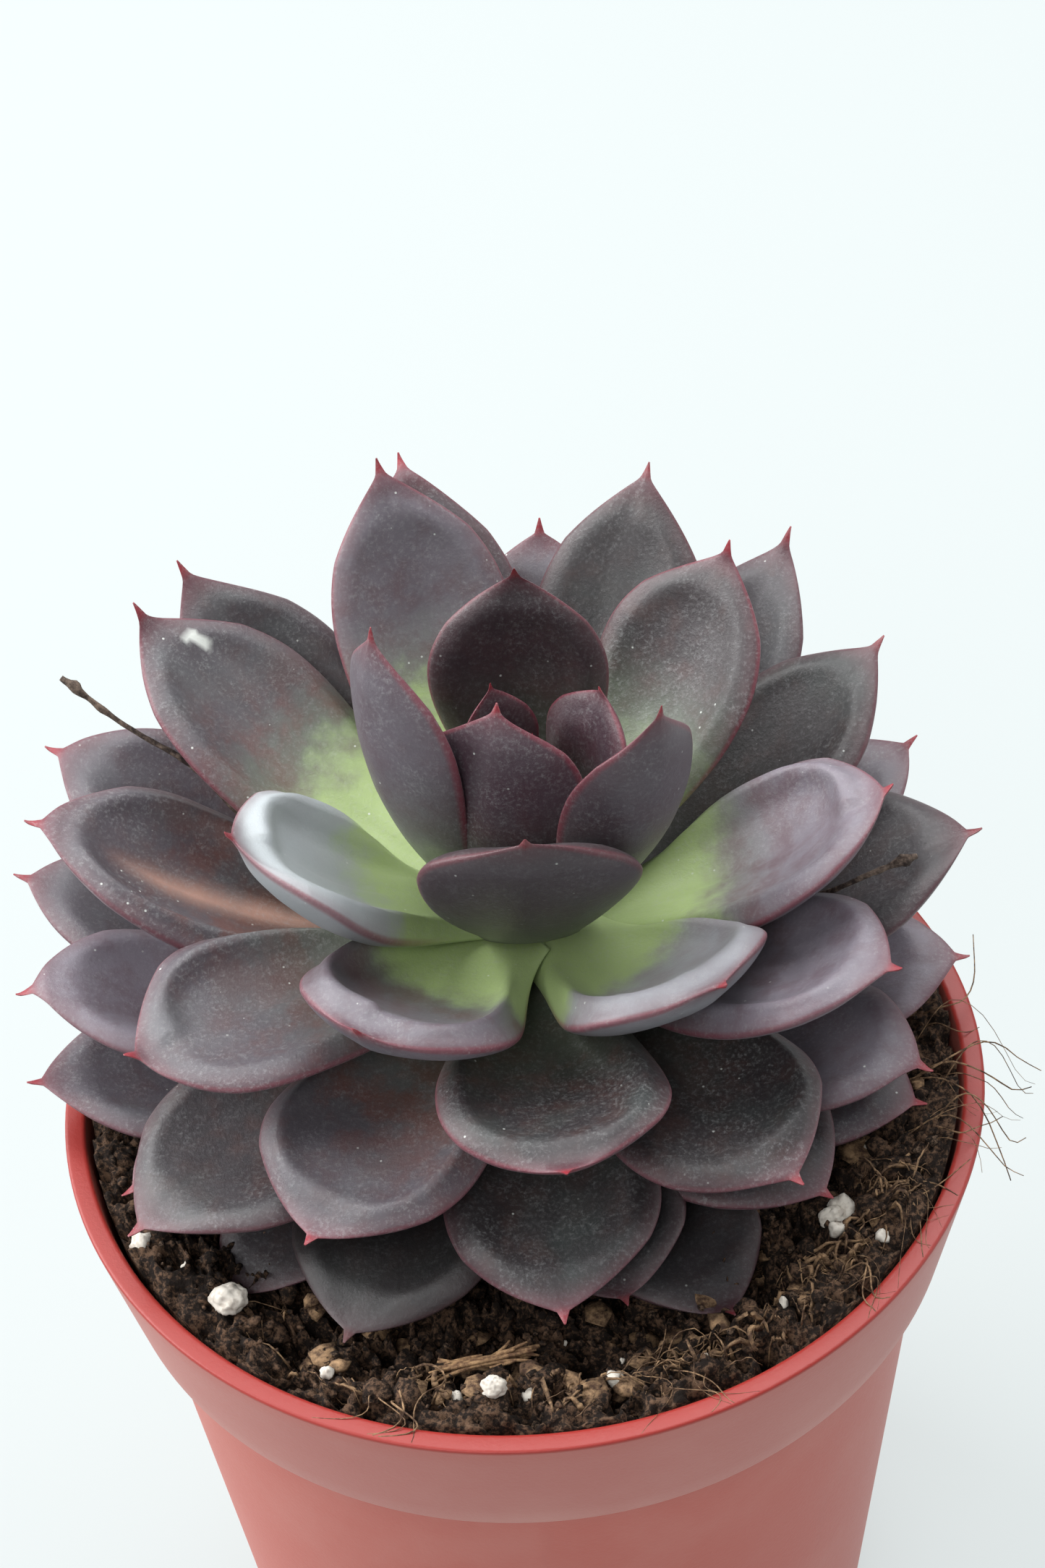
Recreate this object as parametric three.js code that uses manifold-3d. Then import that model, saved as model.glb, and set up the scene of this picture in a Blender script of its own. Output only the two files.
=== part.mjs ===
// A dark rosette succulent growing in a thin nursery pot.
// Millimetres, +Z up. The origin is the centre of the pot's base, on the surface it stands on.
// Leaf heights are measured from the pot's rim, because the rosette sits on it.
import * as THREE from "three";
import { mergeVertices } from "three/addons/utils/BufferGeometryUtils.js";
import Module from "manifold-3d";

// ---- Driving dimensions ----
const POT_HEIGHT = 80;
const RIM_RADIUS = 45; // outer, at the lip
const LIP_WIDTH = 2.1;
const BAND_HEIGHT = 15.3; // the stepped collar under the lip
const BAND_TAPER = 3; // the collar's loss of radius from lip to step
const STEP_WIDTH = 2.1; // the ledge under the collar
const BASE_RADIUS = 33.7;
const WALL = 1.1;
const FLOOR = 1.2;
const BASE_DISC_RADIUS = 24; // the flat middle of the base
const FOOT_WIDTH = 4.7; // the standing ring at the base's edge
const ARCH_HEIGHT = 2.5; // how far the drained ring is lifted
const DRAIN_COUNT = 8;
const DRAIN_RADIUS = 1.7;
const POT_CHAMFER = 0.6;

const SOIL_DROP = 5; // below the lip
const SOIL_CROWN = 0.8; // rise of the soil at the stem
const GAP = 0.3; // between touching pieces

const STEM_FOOT = new THREE.Vector2(-1, 9); // where the stem leaves the soil
const STEM_LEAN = new THREE.Vector2(4.6, -4.5); // how far its top leans over
const STEM_LENGTH = 36; // above the soil
const STEM_ROOT = 7; // below the soil
const STEM_FOOT_RADIUS = 5.2;
const STEM_TOP_RADIUS = 2;

const FIRST_LEAF = 1.8; // above the soil
const OUTER_LEAVES = 34; // closely set on the lower stem
const OUTER_SPACING = 0.45; // along the stem, leaf to leaf
const INNER_SPACING = 0.85;
const LEAF_PLUMPNESS = 0.155; // thickness over width
const LEAF_BASE = 0.22; // width at the stem over greatest width
const LEAF_SHOULDER = 0.68; // where along the leaf it is widest
const LEAF_TIP_POWER = 0.65; // smaller is blunter
const LEAF_SIDES = 8;
const LEAF_STATIONS = [0, 0.13, 0.3, 0.47, 0.63, 0.77, 0.88, 0.95];

// How far a leaf may move to lie clear of those under it, and how much dearer raising its tip is
// than lifting its foot.
const MOST_LIFT = 9;
const MOST_RAISE = 15;
const RAISE_COST = 1.6;

const STALK_WIDTH = 1.1;
const STALK_KNOB = 2.2;
const STALK_SAG = 0.75;

const POT_COLOR = 0xb05a50;
const SOIL_COLOR = 0x3a2a22;
const STEM_COLOR = 0x6f7a4c;
const STALK_COLOR = 0x54423c;
const PERLITE_COLOR = 0xe4e0d8;
const TWIG_COLOR = 0x8a6a4a;
const OUTER_LEAF_COLOR = 0x3d3b40;
const INNER_LEAF_COLOR = 0x5d4a5c;

// Each leaf from the lowest to the bud: azimuth in degrees, reach of its tip from the stem, height of
// its tip above the rim, greatest width, how far its middle sags below a straight line, how far its
// edges turn up, and how many degrees it is rolled about its own length.
const LEAVES = [
  [-168, 48, 6, 17, 2, 1, 0],
  [57, 43, 9, 18, 2, 1, 0],
  [-65, 43, -2, 16, 1, 1, 0],
  [-25, 43, 1, 17, 1, 1, 0],
  [-5, 45, 6, 17, 2, 1, 0],
  [-134, 43, -2, 14, 1, 1, 0],
  [166, 50, 13, 17, 2, 1, 0],
  [-148, 45, 1, 15, 1, 1, 0],
  [-47, 41, 3, 18, 1, 1, 0],
  [37, 42, 13, 18, 2, 1, 0],
  [122, 44, 15, 18, 2, 1, 0],
  [-26, 43, 7, 17, 1, 1, 0],
  [-175, 48, 13, 17, 2, 1, 0],
  [70, 44, 19, 18, 2, 1, 0],
  [-79, 40, 0, 16, 1, 1, 0],
  [157, 48, 24, 18, 2, 2, 0],
  [21, 45, 18, 17, 2, 1, 0],
  [-115, 44, 1, 19, 1, 1, 0],
  [102, 44, 25, 18, 2, 1, 0],
  [47, 46, 32, 17, 3, 1, 0],
  [-88, 42, 4, 19, 1, 1, 0],
  [135, 42, 37, 18, 3, 1, 0],
  [-2, 45, 22, 19, 2, 1, 0],
  [-143, 48, 5, 20, 1, 1, 0],
  [81, 38, 33, 17, 3, 1, 0],
  [-55, 41, 11, 20, 1, 1, 0],
  [174, 46, 28, 18, 3, 2, 0],
  [25, 42, 30, 18, 3, 1, 0],
  [-122, 41, 10, 20, 1, 1, 0],
  [101, 42, 39, 17, 4, 1, 0],
  [-31, 39, 24, 19, 2, 1, 0],
  [-153, 42, 18, 19, 2, 2, 0],
  [66, 41, 38, 17, 4, 1, 0],
  [-87, 37, 20, 20, 2, 1, 0],
  [146, 42, 37, 18, 4, 2, 0],
  [-7, 35, 32, 18, 3, 2, 0],
  [-122, 29, 28, 20, 3, 1, 0],
  [107, 36, 45, 17, 5, 2, 0],
  [-54, 29, 28, 19, 3, 1, 0],
  [-165, 27, 36, 18, 3, 3, 3],
  [44, 31, 42, 17, 4, 2, 0],
  [-90, 18, 43, 19, 1, 0, 0],
  [-176, 12, 54, 15, 3, 3, 28],
  [-38, 16, 50, 13, 3, 3, -24],
  [-110, 5, 46, 15, 2, 2, 0],
  [86, 12, 49, 16, 3, 2, 0],
  [118, 5, 42, 8, 1, 1, 0],
  [34, 9, 40, 11, 1, 1, 0],
  [64, 2, 38, 5, 0, 1, 0],
];

// Dried flower stalks, lying among the leaves: how many of the leaves above are under it, its name,
// azimuth, reach and tip height.
const STALKS = [
  [18, "dried_stalk_left", 156, 45, 33],
  [23, "dried_stalk_right", -10, 38, 24],
];

// Loose grains of perlite on the soil: azimuth in degrees, how far in from the pot's wall, and radius.
const PERLITE = [
  [-139, 3.9, 1.8],
  [-35.5, 7.8, 1.3],
  [-97.5, 3.9, 1.2],
];
const GRAIN_FLATNESS = 0.75;
const GRAIN_LUMPS = 0.11;
// The broken twig's two ends: azimuth, and how far in from the wall.
const TWIG_FROM = [-108, 7];
const TWIG_TO = [-93.5, 10];
const TWIG_RADIUS = 0.6;

const wasm = await Module();
wasm.setup();

const rosette = new THREE.Group();
const UP = new THREE.Vector3(0, 0, 1);
const rimHeight = POT_HEIGHT;
const soilHeight = POT_HEIGHT - SOIL_DROP;

// ---- Solids ----
function solidOf(geometry) {
  const bare = new THREE.BufferGeometry();
  const source = geometry.index ? geometry.toNonIndexed() : geometry;
  bare.setAttribute("position", source.getAttribute("position").clone());
  const merged = mergeVertices(bare, 1e-4);
  return new wasm.Manifold(
    new wasm.Mesh({
      numProp: 3,
      vertProperties: merged.attributes.position.array,
      triVerts: new Uint32Array(merged.index.array),
    }),
  );
}

function geometryOf(solid) {
  const { vertProperties, triVerts } = solid.getMesh();
  const geometry = new THREE.BufferGeometry();
  geometry.setAttribute("position", new THREE.BufferAttribute(new Float32Array(vertProperties), 3));
  geometry.setIndex([...triVerts]);
  return geometry;
}

function addPiece(name, geometry, color, roughness) {
  geometry.computeVertexNormals();
  const material = new THREE.MeshStandardMaterial({ color, roughness, metalness: 0 });
  const mesh = new THREE.Mesh(geometry, material);
  mesh.name = name;
  rosette.add(mesh);
  return mesh;
}

// A profile of [radius, height] points turned about the Z axis.
function lathe(points, segments) {
  const profile = points.map(([radius, height]) => new THREE.Vector2(radius, height));
  return new THREE.LatheGeometry(profile, segments).rotateX(Math.PI / 2);
}

// ---- The pot ----
const bandBottom = POT_HEIGHT - BAND_HEIGHT;
const bandRadius = RIM_RADIUS - BAND_TAPER;
const neckRadius = bandRadius - STEP_WIDTH;
const innerRim = RIM_RADIUS - LIP_WIDTH;
const archRadius = BASE_RADIUS - FOOT_WIDTH;
const ledgeTop = bandBottom + WALL;

// The inner wall's radius at a height above the base.
function innerRadius(z) {
  const baseInner = BASE_RADIUS - WALL;
  const neckInner = neckRadius - WALL;
  if (z <= bandBottom) return baseInner + ((neckInner - baseInner) * z) / bandBottom;
  const bandInner = bandRadius - WALL;
  return bandInner + ((innerRim - bandInner) * (z - ledgeTop)) / (POT_HEIGHT - ledgeTop);
}

function makePot() {
  const chamfer = POT_CHAMFER;
  const arch = ARCH_HEIGHT;
  const profile = [
    [0, 0],
    [BASE_DISC_RADIUS - chamfer, 0],
    [BASE_DISC_RADIUS, arch],
    [archRadius, arch],
    [archRadius + chamfer, 0],
    [BASE_RADIUS - chamfer, 0],
    [BASE_RADIUS, chamfer],
    [neckRadius, bandBottom],
    [bandRadius, bandBottom],
    [RIM_RADIUS, POT_HEIGHT - chamfer],
    [RIM_RADIUS - chamfer, POT_HEIGHT],
    [innerRim, POT_HEIGHT],
    [bandRadius - WALL, ledgeTop],
    [neckRadius - WALL, ledgeTop],
    [innerRadius(arch + FLOOR), arch + FLOOR],
    [BASE_DISC_RADIUS, arch + FLOOR],
    [BASE_DISC_RADIUS - FLOOR, FLOOR],
    [0, FLOOR],
  ];
  let pot = solidOf(lathe(profile, 64));
  const drainCircle = (BASE_DISC_RADIUS + archRadius) / 2;
  for (let i = 0; i < DRAIN_COUNT; i++) {
    const turn = ((i + 0.5) * 2 * Math.PI) / DRAIN_COUNT;
    const drain = new THREE.CylinderGeometry(DRAIN_RADIUS, DRAIN_RADIUS, 3 * FLOOR, 12);
    drain.rotateX(Math.PI / 2);
    drain.translate(drainCircle * Math.cos(turn), drainCircle * Math.sin(turn), arch + FLOOR / 2);
    pot = pot.subtract(solidOf(drain));
  }
  return addPiece("pot", geometryOf(pot), POT_COLOR, 0.5);
}

// ---- The stem ----
// A height above the rim, as a point on the stem's middle line.
function stemPoint(height) {
  const share = (height + SOIL_DROP) / STEM_LENGTH;
  return new THREE.Vector3(
    STEM_FOOT.x + STEM_LEAN.x * share,
    STEM_FOOT.y + STEM_LEAN.y * share,
    rimHeight + height,
  );
}

function stemRadius(height) {
  const share = THREE.MathUtils.clamp((height + SOIL_DROP) / STEM_LENGTH, 0, 1);
  return THREE.MathUtils.lerp(STEM_FOOT_RADIUS, STEM_TOP_RADIUS, share);
}

function stemGeometry(extra) {
  const foot = stemPoint(-SOIL_DROP - STEM_ROOT);
  const top = stemPoint(STEM_LENGTH - SOIL_DROP);
  const length = foot.distanceTo(top);
  const profile = [
    [0, -extra],
    [STEM_FOOT_RADIUS * 0.7 + extra, -extra],
    [STEM_FOOT_RADIUS + extra, STEM_ROOT],
    [STEM_TOP_RADIUS + extra, length - STEM_TOP_RADIUS],
    [STEM_TOP_RADIUS * 0.6 + extra, length - STEM_TOP_RADIUS * 0.3],
    [0, length + extra],
  ];
  const lean = new THREE.Quaternion().setFromUnitVectors(UP, top.sub(foot).normalize());
  return lathe(profile, 16).applyQuaternion(lean).translate(...foot);
}

function makeStem() {
  return addPiece("stem", stemGeometry(0), STEM_COLOR, 0.8);
}

// ---- The soil ----
function makeSoil() {
  const floor = ARCH_HEIGHT + FLOOR + GAP;
  const ledge = ledgeTop + GAP;
  const profile = [
    [0, floor],
    [innerRadius(floor) - GAP, floor],
    [neckRadius - WALL - GAP, ledge],
    [bandRadius - WALL - GAP, ledge],
    [innerRadius(soilHeight) - GAP, soilHeight],
    [RIM_RADIUS / 2, soilHeight + SOIL_CROWN / 2],
    [0, soilHeight + SOIL_CROWN],
  ];
  const soil = solidOf(lathe(profile, 48)).subtract(solidOf(stemGeometry(GAP)));
  return addPiece("soil", geometryOf(soil), SOIL_COLOR, 0.95);
}

// ---- Things lying on the soil ----
// The point on the soil at an azimuth and a distance in from the pot's wall.
function onSoil(azimuth, inset) {
  const turn = THREE.MathUtils.degToRad(azimuth);
  const wall = innerRadius(soilHeight);
  const reach = wall - inset;
  const height = soilHeight + SOIL_CROWN * (1 - reach / wall);
  return new THREE.Vector3(reach * Math.cos(turn), reach * Math.sin(turn), height);
}

// A lumpy grain: a ball whose radius swells and shrinks smoothly around it.
function makeGrain([azimuth, inset, radius], index) {
  const grain = new THREE.IcosahedronGeometry(radius, 2);
  const position = grain.getAttribute("position");
  for (let i = 0; i < position.count; i++) {
    const point = new THREE.Vector3().fromBufferAttribute(position, i);
    const waves = Math.sin(2.3 * point.x + index) * Math.cos(1.9 * point.y) + Math.cos(2.7 * point.z);
    const lump = 1 - GRAIN_LUMPS * waves;
    position.setXYZ(i, point.x * lump, point.y * lump, point.z * lump * GRAIN_FLATNESS);
  }
  grain.computeBoundingBox();
  const place = onSoil(azimuth, inset);
  place.z += GAP - grain.boundingBox.min.z;
  grain.translate(place.x, place.y, place.z);
  return addPiece(`perlite_${index + 1}`, grain, PERLITE_COLOR, 0.9);
}

function makeTwig() {
  const from = onSoil(...TWIG_FROM);
  const to = onSoil(...TWIG_TO);
  from.z += TWIG_RADIUS + GAP;
  to.z += TWIG_RADIUS + GAP;
  const length = from.distanceTo(to);
  const profile = [
    [0, 0],
    [TWIG_RADIUS, 0.4],
    [TWIG_RADIUS * 0.8, length * 0.5],
    [TWIG_RADIUS * 0.5, length - 0.3],
    [0, length],
  ];
  const along = new THREE.Quaternion().setFromUnitVectors(UP, to.sub(from).normalize());
  return addPiece("twig", lathe(profile, 8).applyQuaternion(along).translate(...from), TWIG_COLOR, 0.9);
}

// ---- Leaves ----
// A closed blade along +X from its base at the origin to its tip, with its upper face to +Z.
// blade gives half width, half thickness, sag and edge rise at a share of the length.
function bladeGeometry(length, blade) {
  const positions = [0, 0, blade(0).sag];
  for (const share of LEAF_STATIONS) {
    const { half, thick, sag, rise } = blade(share);
    for (let side = 0; side < LEAF_SIDES; side++) {
      const turn = (2 * Math.PI * side) / LEAF_SIDES;
      const across = Math.cos(turn);
      const height = sag + rise * across * across + thick * Math.sin(turn);
      positions.push(share * length, half * across, height);
    }
  }
  positions.push(length, 0, blade(1).sag);

  const index = [];
  const rings = LEAF_STATIONS.length;
  const tip = rings * LEAF_SIDES + 1;
  const at = (ring, side) => 1 + ring * LEAF_SIDES + (side % LEAF_SIDES);
  for (let side = 0; side < LEAF_SIDES; side++) {
    index.push(0, at(0, side + 1), at(0, side));
    for (let ring = 0; ring + 1 < rings; ring++) {
      index.push(at(ring, side), at(ring + 1, side + 1), at(ring + 1, side));
      index.push(at(ring, side), at(ring, side + 1), at(ring + 1, side + 1));
    }
    index.push(at(rings - 1, side), at(rings - 1, side + 1), tip);
  }
  const geometry = new THREE.BufferGeometry();
  geometry.setAttribute("position", new THREE.Float32BufferAttribute(positions, 3));
  geometry.setIndex(index);
  return geometry;
}

// Widest at the shoulder, narrowing smoothly to the base and round to the tip.
function leafOutline(share) {
  if (share < LEAF_SHOULDER) {
    const swell = Math.sin((Math.PI / 2) * (share / LEAF_SHOULDER)) ** 2;
    return LEAF_BASE + (1 - LEAF_BASE) * swell;
  }
  const end = (share - LEAF_SHOULDER) / (1 - LEAF_SHOULDER);
  return Math.max(0, 1 - end * end) ** LEAF_TIP_POWER;
}

// The drop below a straight line at a share of the length, greatest at the middle.
function sagAt(greatest, share) {
  return -greatest * 4 * share * (1 - share);
}

function leafGeometry(length, width, sag, rise, extra) {
  const thickness = width * LEAF_PLUMPNESS;
  return bladeGeometry(length + extra, (share) => ({
    half: (leafOutline(share) * width) / 2 + extra,
    thick: (thickness * (0.4 + 0.6 * Math.sin(Math.PI * Math.min(1, share / 0.97)))) / 2 + extra,
    sag: sagAt(sag, share),
    rise: rise * leafOutline(share) ** 2 * Math.sqrt(share),
  }));
}

function stalkGeometry(length, extra) {
  return bladeGeometry(length + extra, (share) => {
    const half = (share > 0.9 ? STALK_KNOB : STALK_WIDTH) / 2 + extra;
    return { half, thick: half, sag: sagAt(STALK_SAG, share), rise: 0 };
  });
}

// The foot of a leaf or stalk at a height on the stem, and the way it points when its tip is at a
// given place.
function aimed(tip, height, thickness, roll) {
  const middle = stemPoint(height);
  const turn = Math.atan2(tip.y - middle.y, tip.x - middle.x);
  const run = Math.hypot(tip.x - middle.x, tip.y - middle.y);
  const slope = Math.atan2(tip.z - middle.z, run);
  const out = stemRadius(height) + 2 * GAP + (thickness / 2) * Math.abs(Math.sin(slope));
  const foot = middle.clone().add(new THREE.Vector3(out * Math.cos(turn), out * Math.sin(turn), 0));
  const pitch = Math.atan2(tip.z - foot.z, run - out);
  return { foot, rotation: new THREE.Euler(THREE.MathUtils.degToRad(roll), -pitch, turn, "ZYX") };
}

function attachHeight(index) {
  const outer = Math.min(index, OUTER_LEAVES);
  return FIRST_LEAF - SOIL_DROP + OUTER_SPACING * outer + INNER_SPACING * (index - outer);
}

const laid = [];

function clearOfLaid(solid) {
  const box = solid.boundingBox();
  for (const other of laid) {
    const apart = [0, 1, 2].some((i) => box.max[i] < other.box.min[i] || box.min[i] > other.box.max[i]);
    if (apart) continue;
    const shared = solid.intersect(other.solid);
    const touching = shared.volume() > 1e-6;
    shared.delete();
    if (touching) return false;
  }
  return true;
}

function layDown(solid) {
  laid.push({ solid, box: solid.boundingBox() });
}

// Ways to move a leaf clear of those under it: lift its foot along the stem, and raise its tip.
const SETTLINGS = [];
for (let lift = 0; lift <= MOST_LIFT; lift += 0.5) {
  for (let raise = 0; raise <= MOST_RAISE; raise += 0.75) {
    SETTLINGS.push({ lift, raise, cost: lift + RAISE_COST * raise });
  }
}
SETTLINGS.sort((a, b) => a.cost - b.cost);

// Lays a blade on those already there, with its tip at an azimuth, a reach from the stem and a height.
function settle([azimuth, reach, tipHeight, roll], attach, thickness, makeGeometry) {
  const turn = THREE.MathUtils.degToRad(azimuth);
  const tip = stemPoint(attach).setZ(rimHeight + tipHeight);
  tip.add(new THREE.Vector3(reach * Math.cos(turn), reach * Math.sin(turn), 0));
  const length = aimed(tip, attach, thickness, roll).foot.distanceTo(tip);
  const tested = solidOf(makeGeometry(length, GAP));
  for (const { lift, raise } of SETTLINGS) {
    const raised = tip.clone().setZ(tip.z + raise);
    const place = aimed(raised, attach + lift, thickness, roll);
    const matrix = new THREE.Matrix4().makeRotationFromEuler(place.rotation).setPosition(place.foot);
    const moved = tested.transform(matrix.elements);
    const clear = clearOfLaid(moved);
    moved.delete();
    if (!clear) continue;
    const geometry = makeGeometry(length, 0);
    layDown(solidOf(geometry).transform(matrix.elements));
    return { geometry, length, lift, raise, ...place };
  }
  throw new Error(`no room for the leaf at azimuth ${azimuth}`);
}

for (const piece of [makePot(), makeStem(), makeSoil(), ...PERLITE.map(makeGrain), makeTwig()]) {
  layDown(solidOf(piece.geometry));
}

LEAVES.forEach(([azimuth, reach, tipHeight, width, sag, rise, roll], index) => {
  for (const [under, name, stalkAzimuth, stalkReach, stalkHeight] of STALKS) {
    if (under !== index) continue;
    const aim = [stalkAzimuth, stalkReach, stalkHeight, 0];
    const rest = settle(aim, attachHeight(index), STALK_WIDTH, stalkGeometry);
    const stalk = addPiece(name, rest.geometry, STALK_COLOR, 0.9);
    stalk.position.copy(rest.foot);
    stalk.rotation.copy(rest.rotation);
  }
  const makeGeometry = (length, extra) => leafGeometry(length, width, sag, rise, extra);
  const aim = [azimuth, reach, tipHeight, roll];
  const rest = settle(aim, attachHeight(index), width * LEAF_PLUMPNESS, makeGeometry);
  const young = index / (LEAVES.length - 1);
  const color = new THREE.Color(OUTER_LEAF_COLOR).lerp(new THREE.Color(INNER_LEAF_COLOR), young);
  const leaf = addPiece(`leaf_${String(index + 1).padStart(2, "0")}`, rest.geometry, color, 0.45);
  leaf.position.copy(rest.foot);
  leaf.rotation.copy(rest.rotation);
});

export default rosette;
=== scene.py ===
"""Looks of a potted rosette succulent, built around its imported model.

Every piece is a surface worked out from formulas and stands in the model's own frame, in metres.
"""

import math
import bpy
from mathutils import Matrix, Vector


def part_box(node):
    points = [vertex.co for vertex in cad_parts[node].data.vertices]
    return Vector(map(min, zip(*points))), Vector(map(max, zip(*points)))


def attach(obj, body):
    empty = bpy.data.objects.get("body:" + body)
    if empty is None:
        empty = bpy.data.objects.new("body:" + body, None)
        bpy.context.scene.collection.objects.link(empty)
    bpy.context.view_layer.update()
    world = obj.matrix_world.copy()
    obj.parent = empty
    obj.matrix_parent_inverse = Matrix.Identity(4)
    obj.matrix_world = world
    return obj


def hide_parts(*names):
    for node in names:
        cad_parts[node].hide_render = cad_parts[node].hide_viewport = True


bl_info = {
    "name": "Potted Succulent",
    "version": (1, 0, 0),
    "blender": (4, 5, 0),
    "location": "3D View > Sidebar > Succulent",
    "description": "Builds a dark rosette succulent in its pot, with soil and a studio stage",
    "category": "Add Mesh",
}

import bpy
import numpy as np
from bpy.props import FloatProperty, FloatVectorProperty, IntProperty, PointerProperty
from mathutils import Matrix, Vector

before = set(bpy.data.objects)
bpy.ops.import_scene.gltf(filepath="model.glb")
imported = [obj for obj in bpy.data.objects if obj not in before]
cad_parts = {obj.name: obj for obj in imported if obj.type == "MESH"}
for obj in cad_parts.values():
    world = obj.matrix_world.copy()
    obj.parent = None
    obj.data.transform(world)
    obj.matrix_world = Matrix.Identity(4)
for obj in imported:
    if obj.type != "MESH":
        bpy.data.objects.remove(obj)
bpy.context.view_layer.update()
MM = 0.001

LEAF_SIDES = 8  # corners in each ring of a packed leaf
LEAF_COUNT = sum(1 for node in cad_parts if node.startswith("leaf_"))


# ---------------------------------------------------------------------------
# Small tools


def paint(code):
    """A colour written as six hexadecimal digits, as linear red, green, blue and alpha."""
    parts = [int(code[i : i + 2], 16) / 255 for i in (0, 2, 4)]
    linear = [p / 12.92 if p <= 0.04045 else ((p + 0.055) / 1.055) ** 2.4 for p in parts]
    return (*linear, 1.0)


def smooth(low, high, value):
    """0 below low, 1 above high, and a smooth S between them."""
    share = np.clip((value - low) / (high - low), 0, 1)
    return share * share * (3 - 2 * share)


def bell(value, centre, width):
    """1 at the centre, falling away as a normal curve of that width."""
    return np.exp(-(((value - centre) / width) ** 2))


def waves(points, rng, pitch, count=24, spread=0.5):
    """A smooth random height: the mean of sine waves of about one pitch in random directions,
    sin(k . p + phase), scaled to about -1 to 1."""
    direction = rng.normal(size=(count, points.shape[-1]))
    direction /= np.linalg.norm(direction, axis=1, keepdims=True)
    lengths = pitch * rng.uniform(1 - spread, 1 + spread, (count, 1))
    phase = rng.uniform(0, 2 * np.pi, count)
    return np.sin(points @ (2 * np.pi * direction / lengths).T + phase).sum(-1) / math.sqrt(count)


def circle(sides):
    """Evenly spaced angles once round."""
    return np.linspace(0, 2 * np.pi, sides, endpoint=False)


def ball_points(rows, sides):
    """Unit directions in rows from pole to pole, with the two poles after them."""
    polar = np.linspace(0, np.pi, rows + 2)[1:-1]
    grid_p, grid_a = np.meshgrid(polar, circle(sides), indexing="ij")
    across = np.sin(grid_p)
    unit = np.stack([across * np.cos(grid_a), across * np.sin(grid_a), np.cos(grid_p)], -1)
    return np.vstack([unit.reshape(-1, 3), [0, 0, 1], [0, 0, -1]])


def loft_faces(rings, sides):
    """Quads between closed rings, and a fan at each end round the two points after them."""
    row = np.arange(rings - 1)[:, None] * sides
    here = np.arange(sides)[None, :]
    ahead = (here + 1) % sides
    quads = np.stack([row + here, row + ahead, row + sides + ahead, row + sides + here], -1)
    first, last = rings * sides, rings * sides + 1
    top = (rings - 1) * sides
    start = np.stack([np.full(sides, first), ahead[0], here[0]], -1)
    end = np.stack([np.full(sides, last), top + here[0], top + ahead[0]], -1)
    return quads.reshape(-1, 4), np.vstack([start, end])


def make_mesh(name, points, quads, triangles):
    """A mesh from whole arrays, turned so that its faces point outwards."""
    corners = np.vstack([triangles, quads[:, [0, 1, 2]], quads[:, [0, 2, 3]]]).astype(int)
    a, b, c = (points[corners[:, i]] for i in range(3))
    if np.einsum("ij,ij->", a, np.cross(b, c)) < 0:
        quads, triangles = quads[:, ::-1], triangles[:, ::-1]
    mesh = bpy.data.meshes.new(name)
    mesh.vertices.add(len(points))
    mesh.vertices.foreach_set("co", np.ascontiguousarray(points, dtype=np.float32).ravel())
    loops = np.concatenate([quads.ravel(), triangles.ravel()]).astype(np.int32)
    totals = np.concatenate([np.full(len(quads), 4), np.full(len(triangles), 3)])
    mesh.loops.add(len(loops))
    mesh.loops.foreach_set("vertex_index", loops)
    mesh.polygons.add(len(totals))
    starts = np.concatenate([[0], np.cumsum(totals)[:-1]]).astype(np.int32)
    mesh.polygons.foreach_set("loop_start", starts)
    mesh.polygons.foreach_set("use_smooth", np.ones(len(totals), dtype=bool))
    mesh.update(calc_edges=True)
    mesh.validate()
    return mesh


def closed_mesh(name, skin, start, end):
    """A mesh over rings of points, skin[ring, side], with a fan to a point at each end."""
    points = np.vstack([skin.reshape(-1, 3), start, end])
    return make_mesh(name, points, *loft_faces(*skin.shape[:2]))


def add_attribute(mesh, name, values):
    """A number for each vertex, which a material reads by name."""
    attribute = mesh.attributes.new(name, "FLOAT", "POINT")
    attribute.data.foreach_set("value", np.ascontiguousarray(values, dtype=np.float32).ravel())


def add_piece(name, mesh, material, nodes=()):
    """Puts a finished mesh in the scene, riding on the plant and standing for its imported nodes."""
    piece = bpy.data.objects.new(name, mesh)
    bpy.context.scene.collection.objects.link(piece)
    mesh.materials.append(material)
    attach(piece, "root")
    if nodes:
        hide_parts(*nodes)


def across_path(path):
    """For each point of a path, two directions across it that turn little."""
    along = np.gradient(path, axis=-2)
    along /= np.linalg.norm(along, axis=-1, keepdims=True)
    helper = np.where(np.abs(along[..., :1, 2:3]) < 0.8, [0.0, 0.0, 1.0], [1.0, 0.0, 0.0])
    side = np.cross(along, np.broadcast_to(helper, along.shape))
    side /= np.linalg.norm(side, axis=-1, keepdims=True)
    return side, np.cross(side, along)


def tubes(paths, radii, sides):
    """Round tubes along many paths at once: p + r (cos a side + sin a up), closed at both ends.
    paths is (count, rings, 3) and radii is (count, rings)."""
    count, rings, _ = paths.shape
    side, up = across_path(paths)
    turn = circle(sides)
    ring = side[:, :, None] * np.cos(turn)[:, None] + up[:, :, None] * np.sin(turn)[:, None]
    skin = paths[:, :, None] + radii[:, :, None, None] * ring
    poles = paths[:, [0, -1]]
    points = np.concatenate([skin.reshape(count, -1, 3), poles], axis=1)
    return repeated(points, *loft_faces(rings, sides))


def repeated(points, quads, triangles):
    """Many copies of one layout of faces, as one set of arrays. points is (count, n, 3)."""
    count, size, _ = points.shape
    shift = (np.arange(count) * size)[:, None, None]
    return (
        points.reshape(-1, 3),
        (quads[None] + shift).reshape(-1, quads.shape[1]),
        (triangles[None] + shift).reshape(-1, 3),
    )


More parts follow.
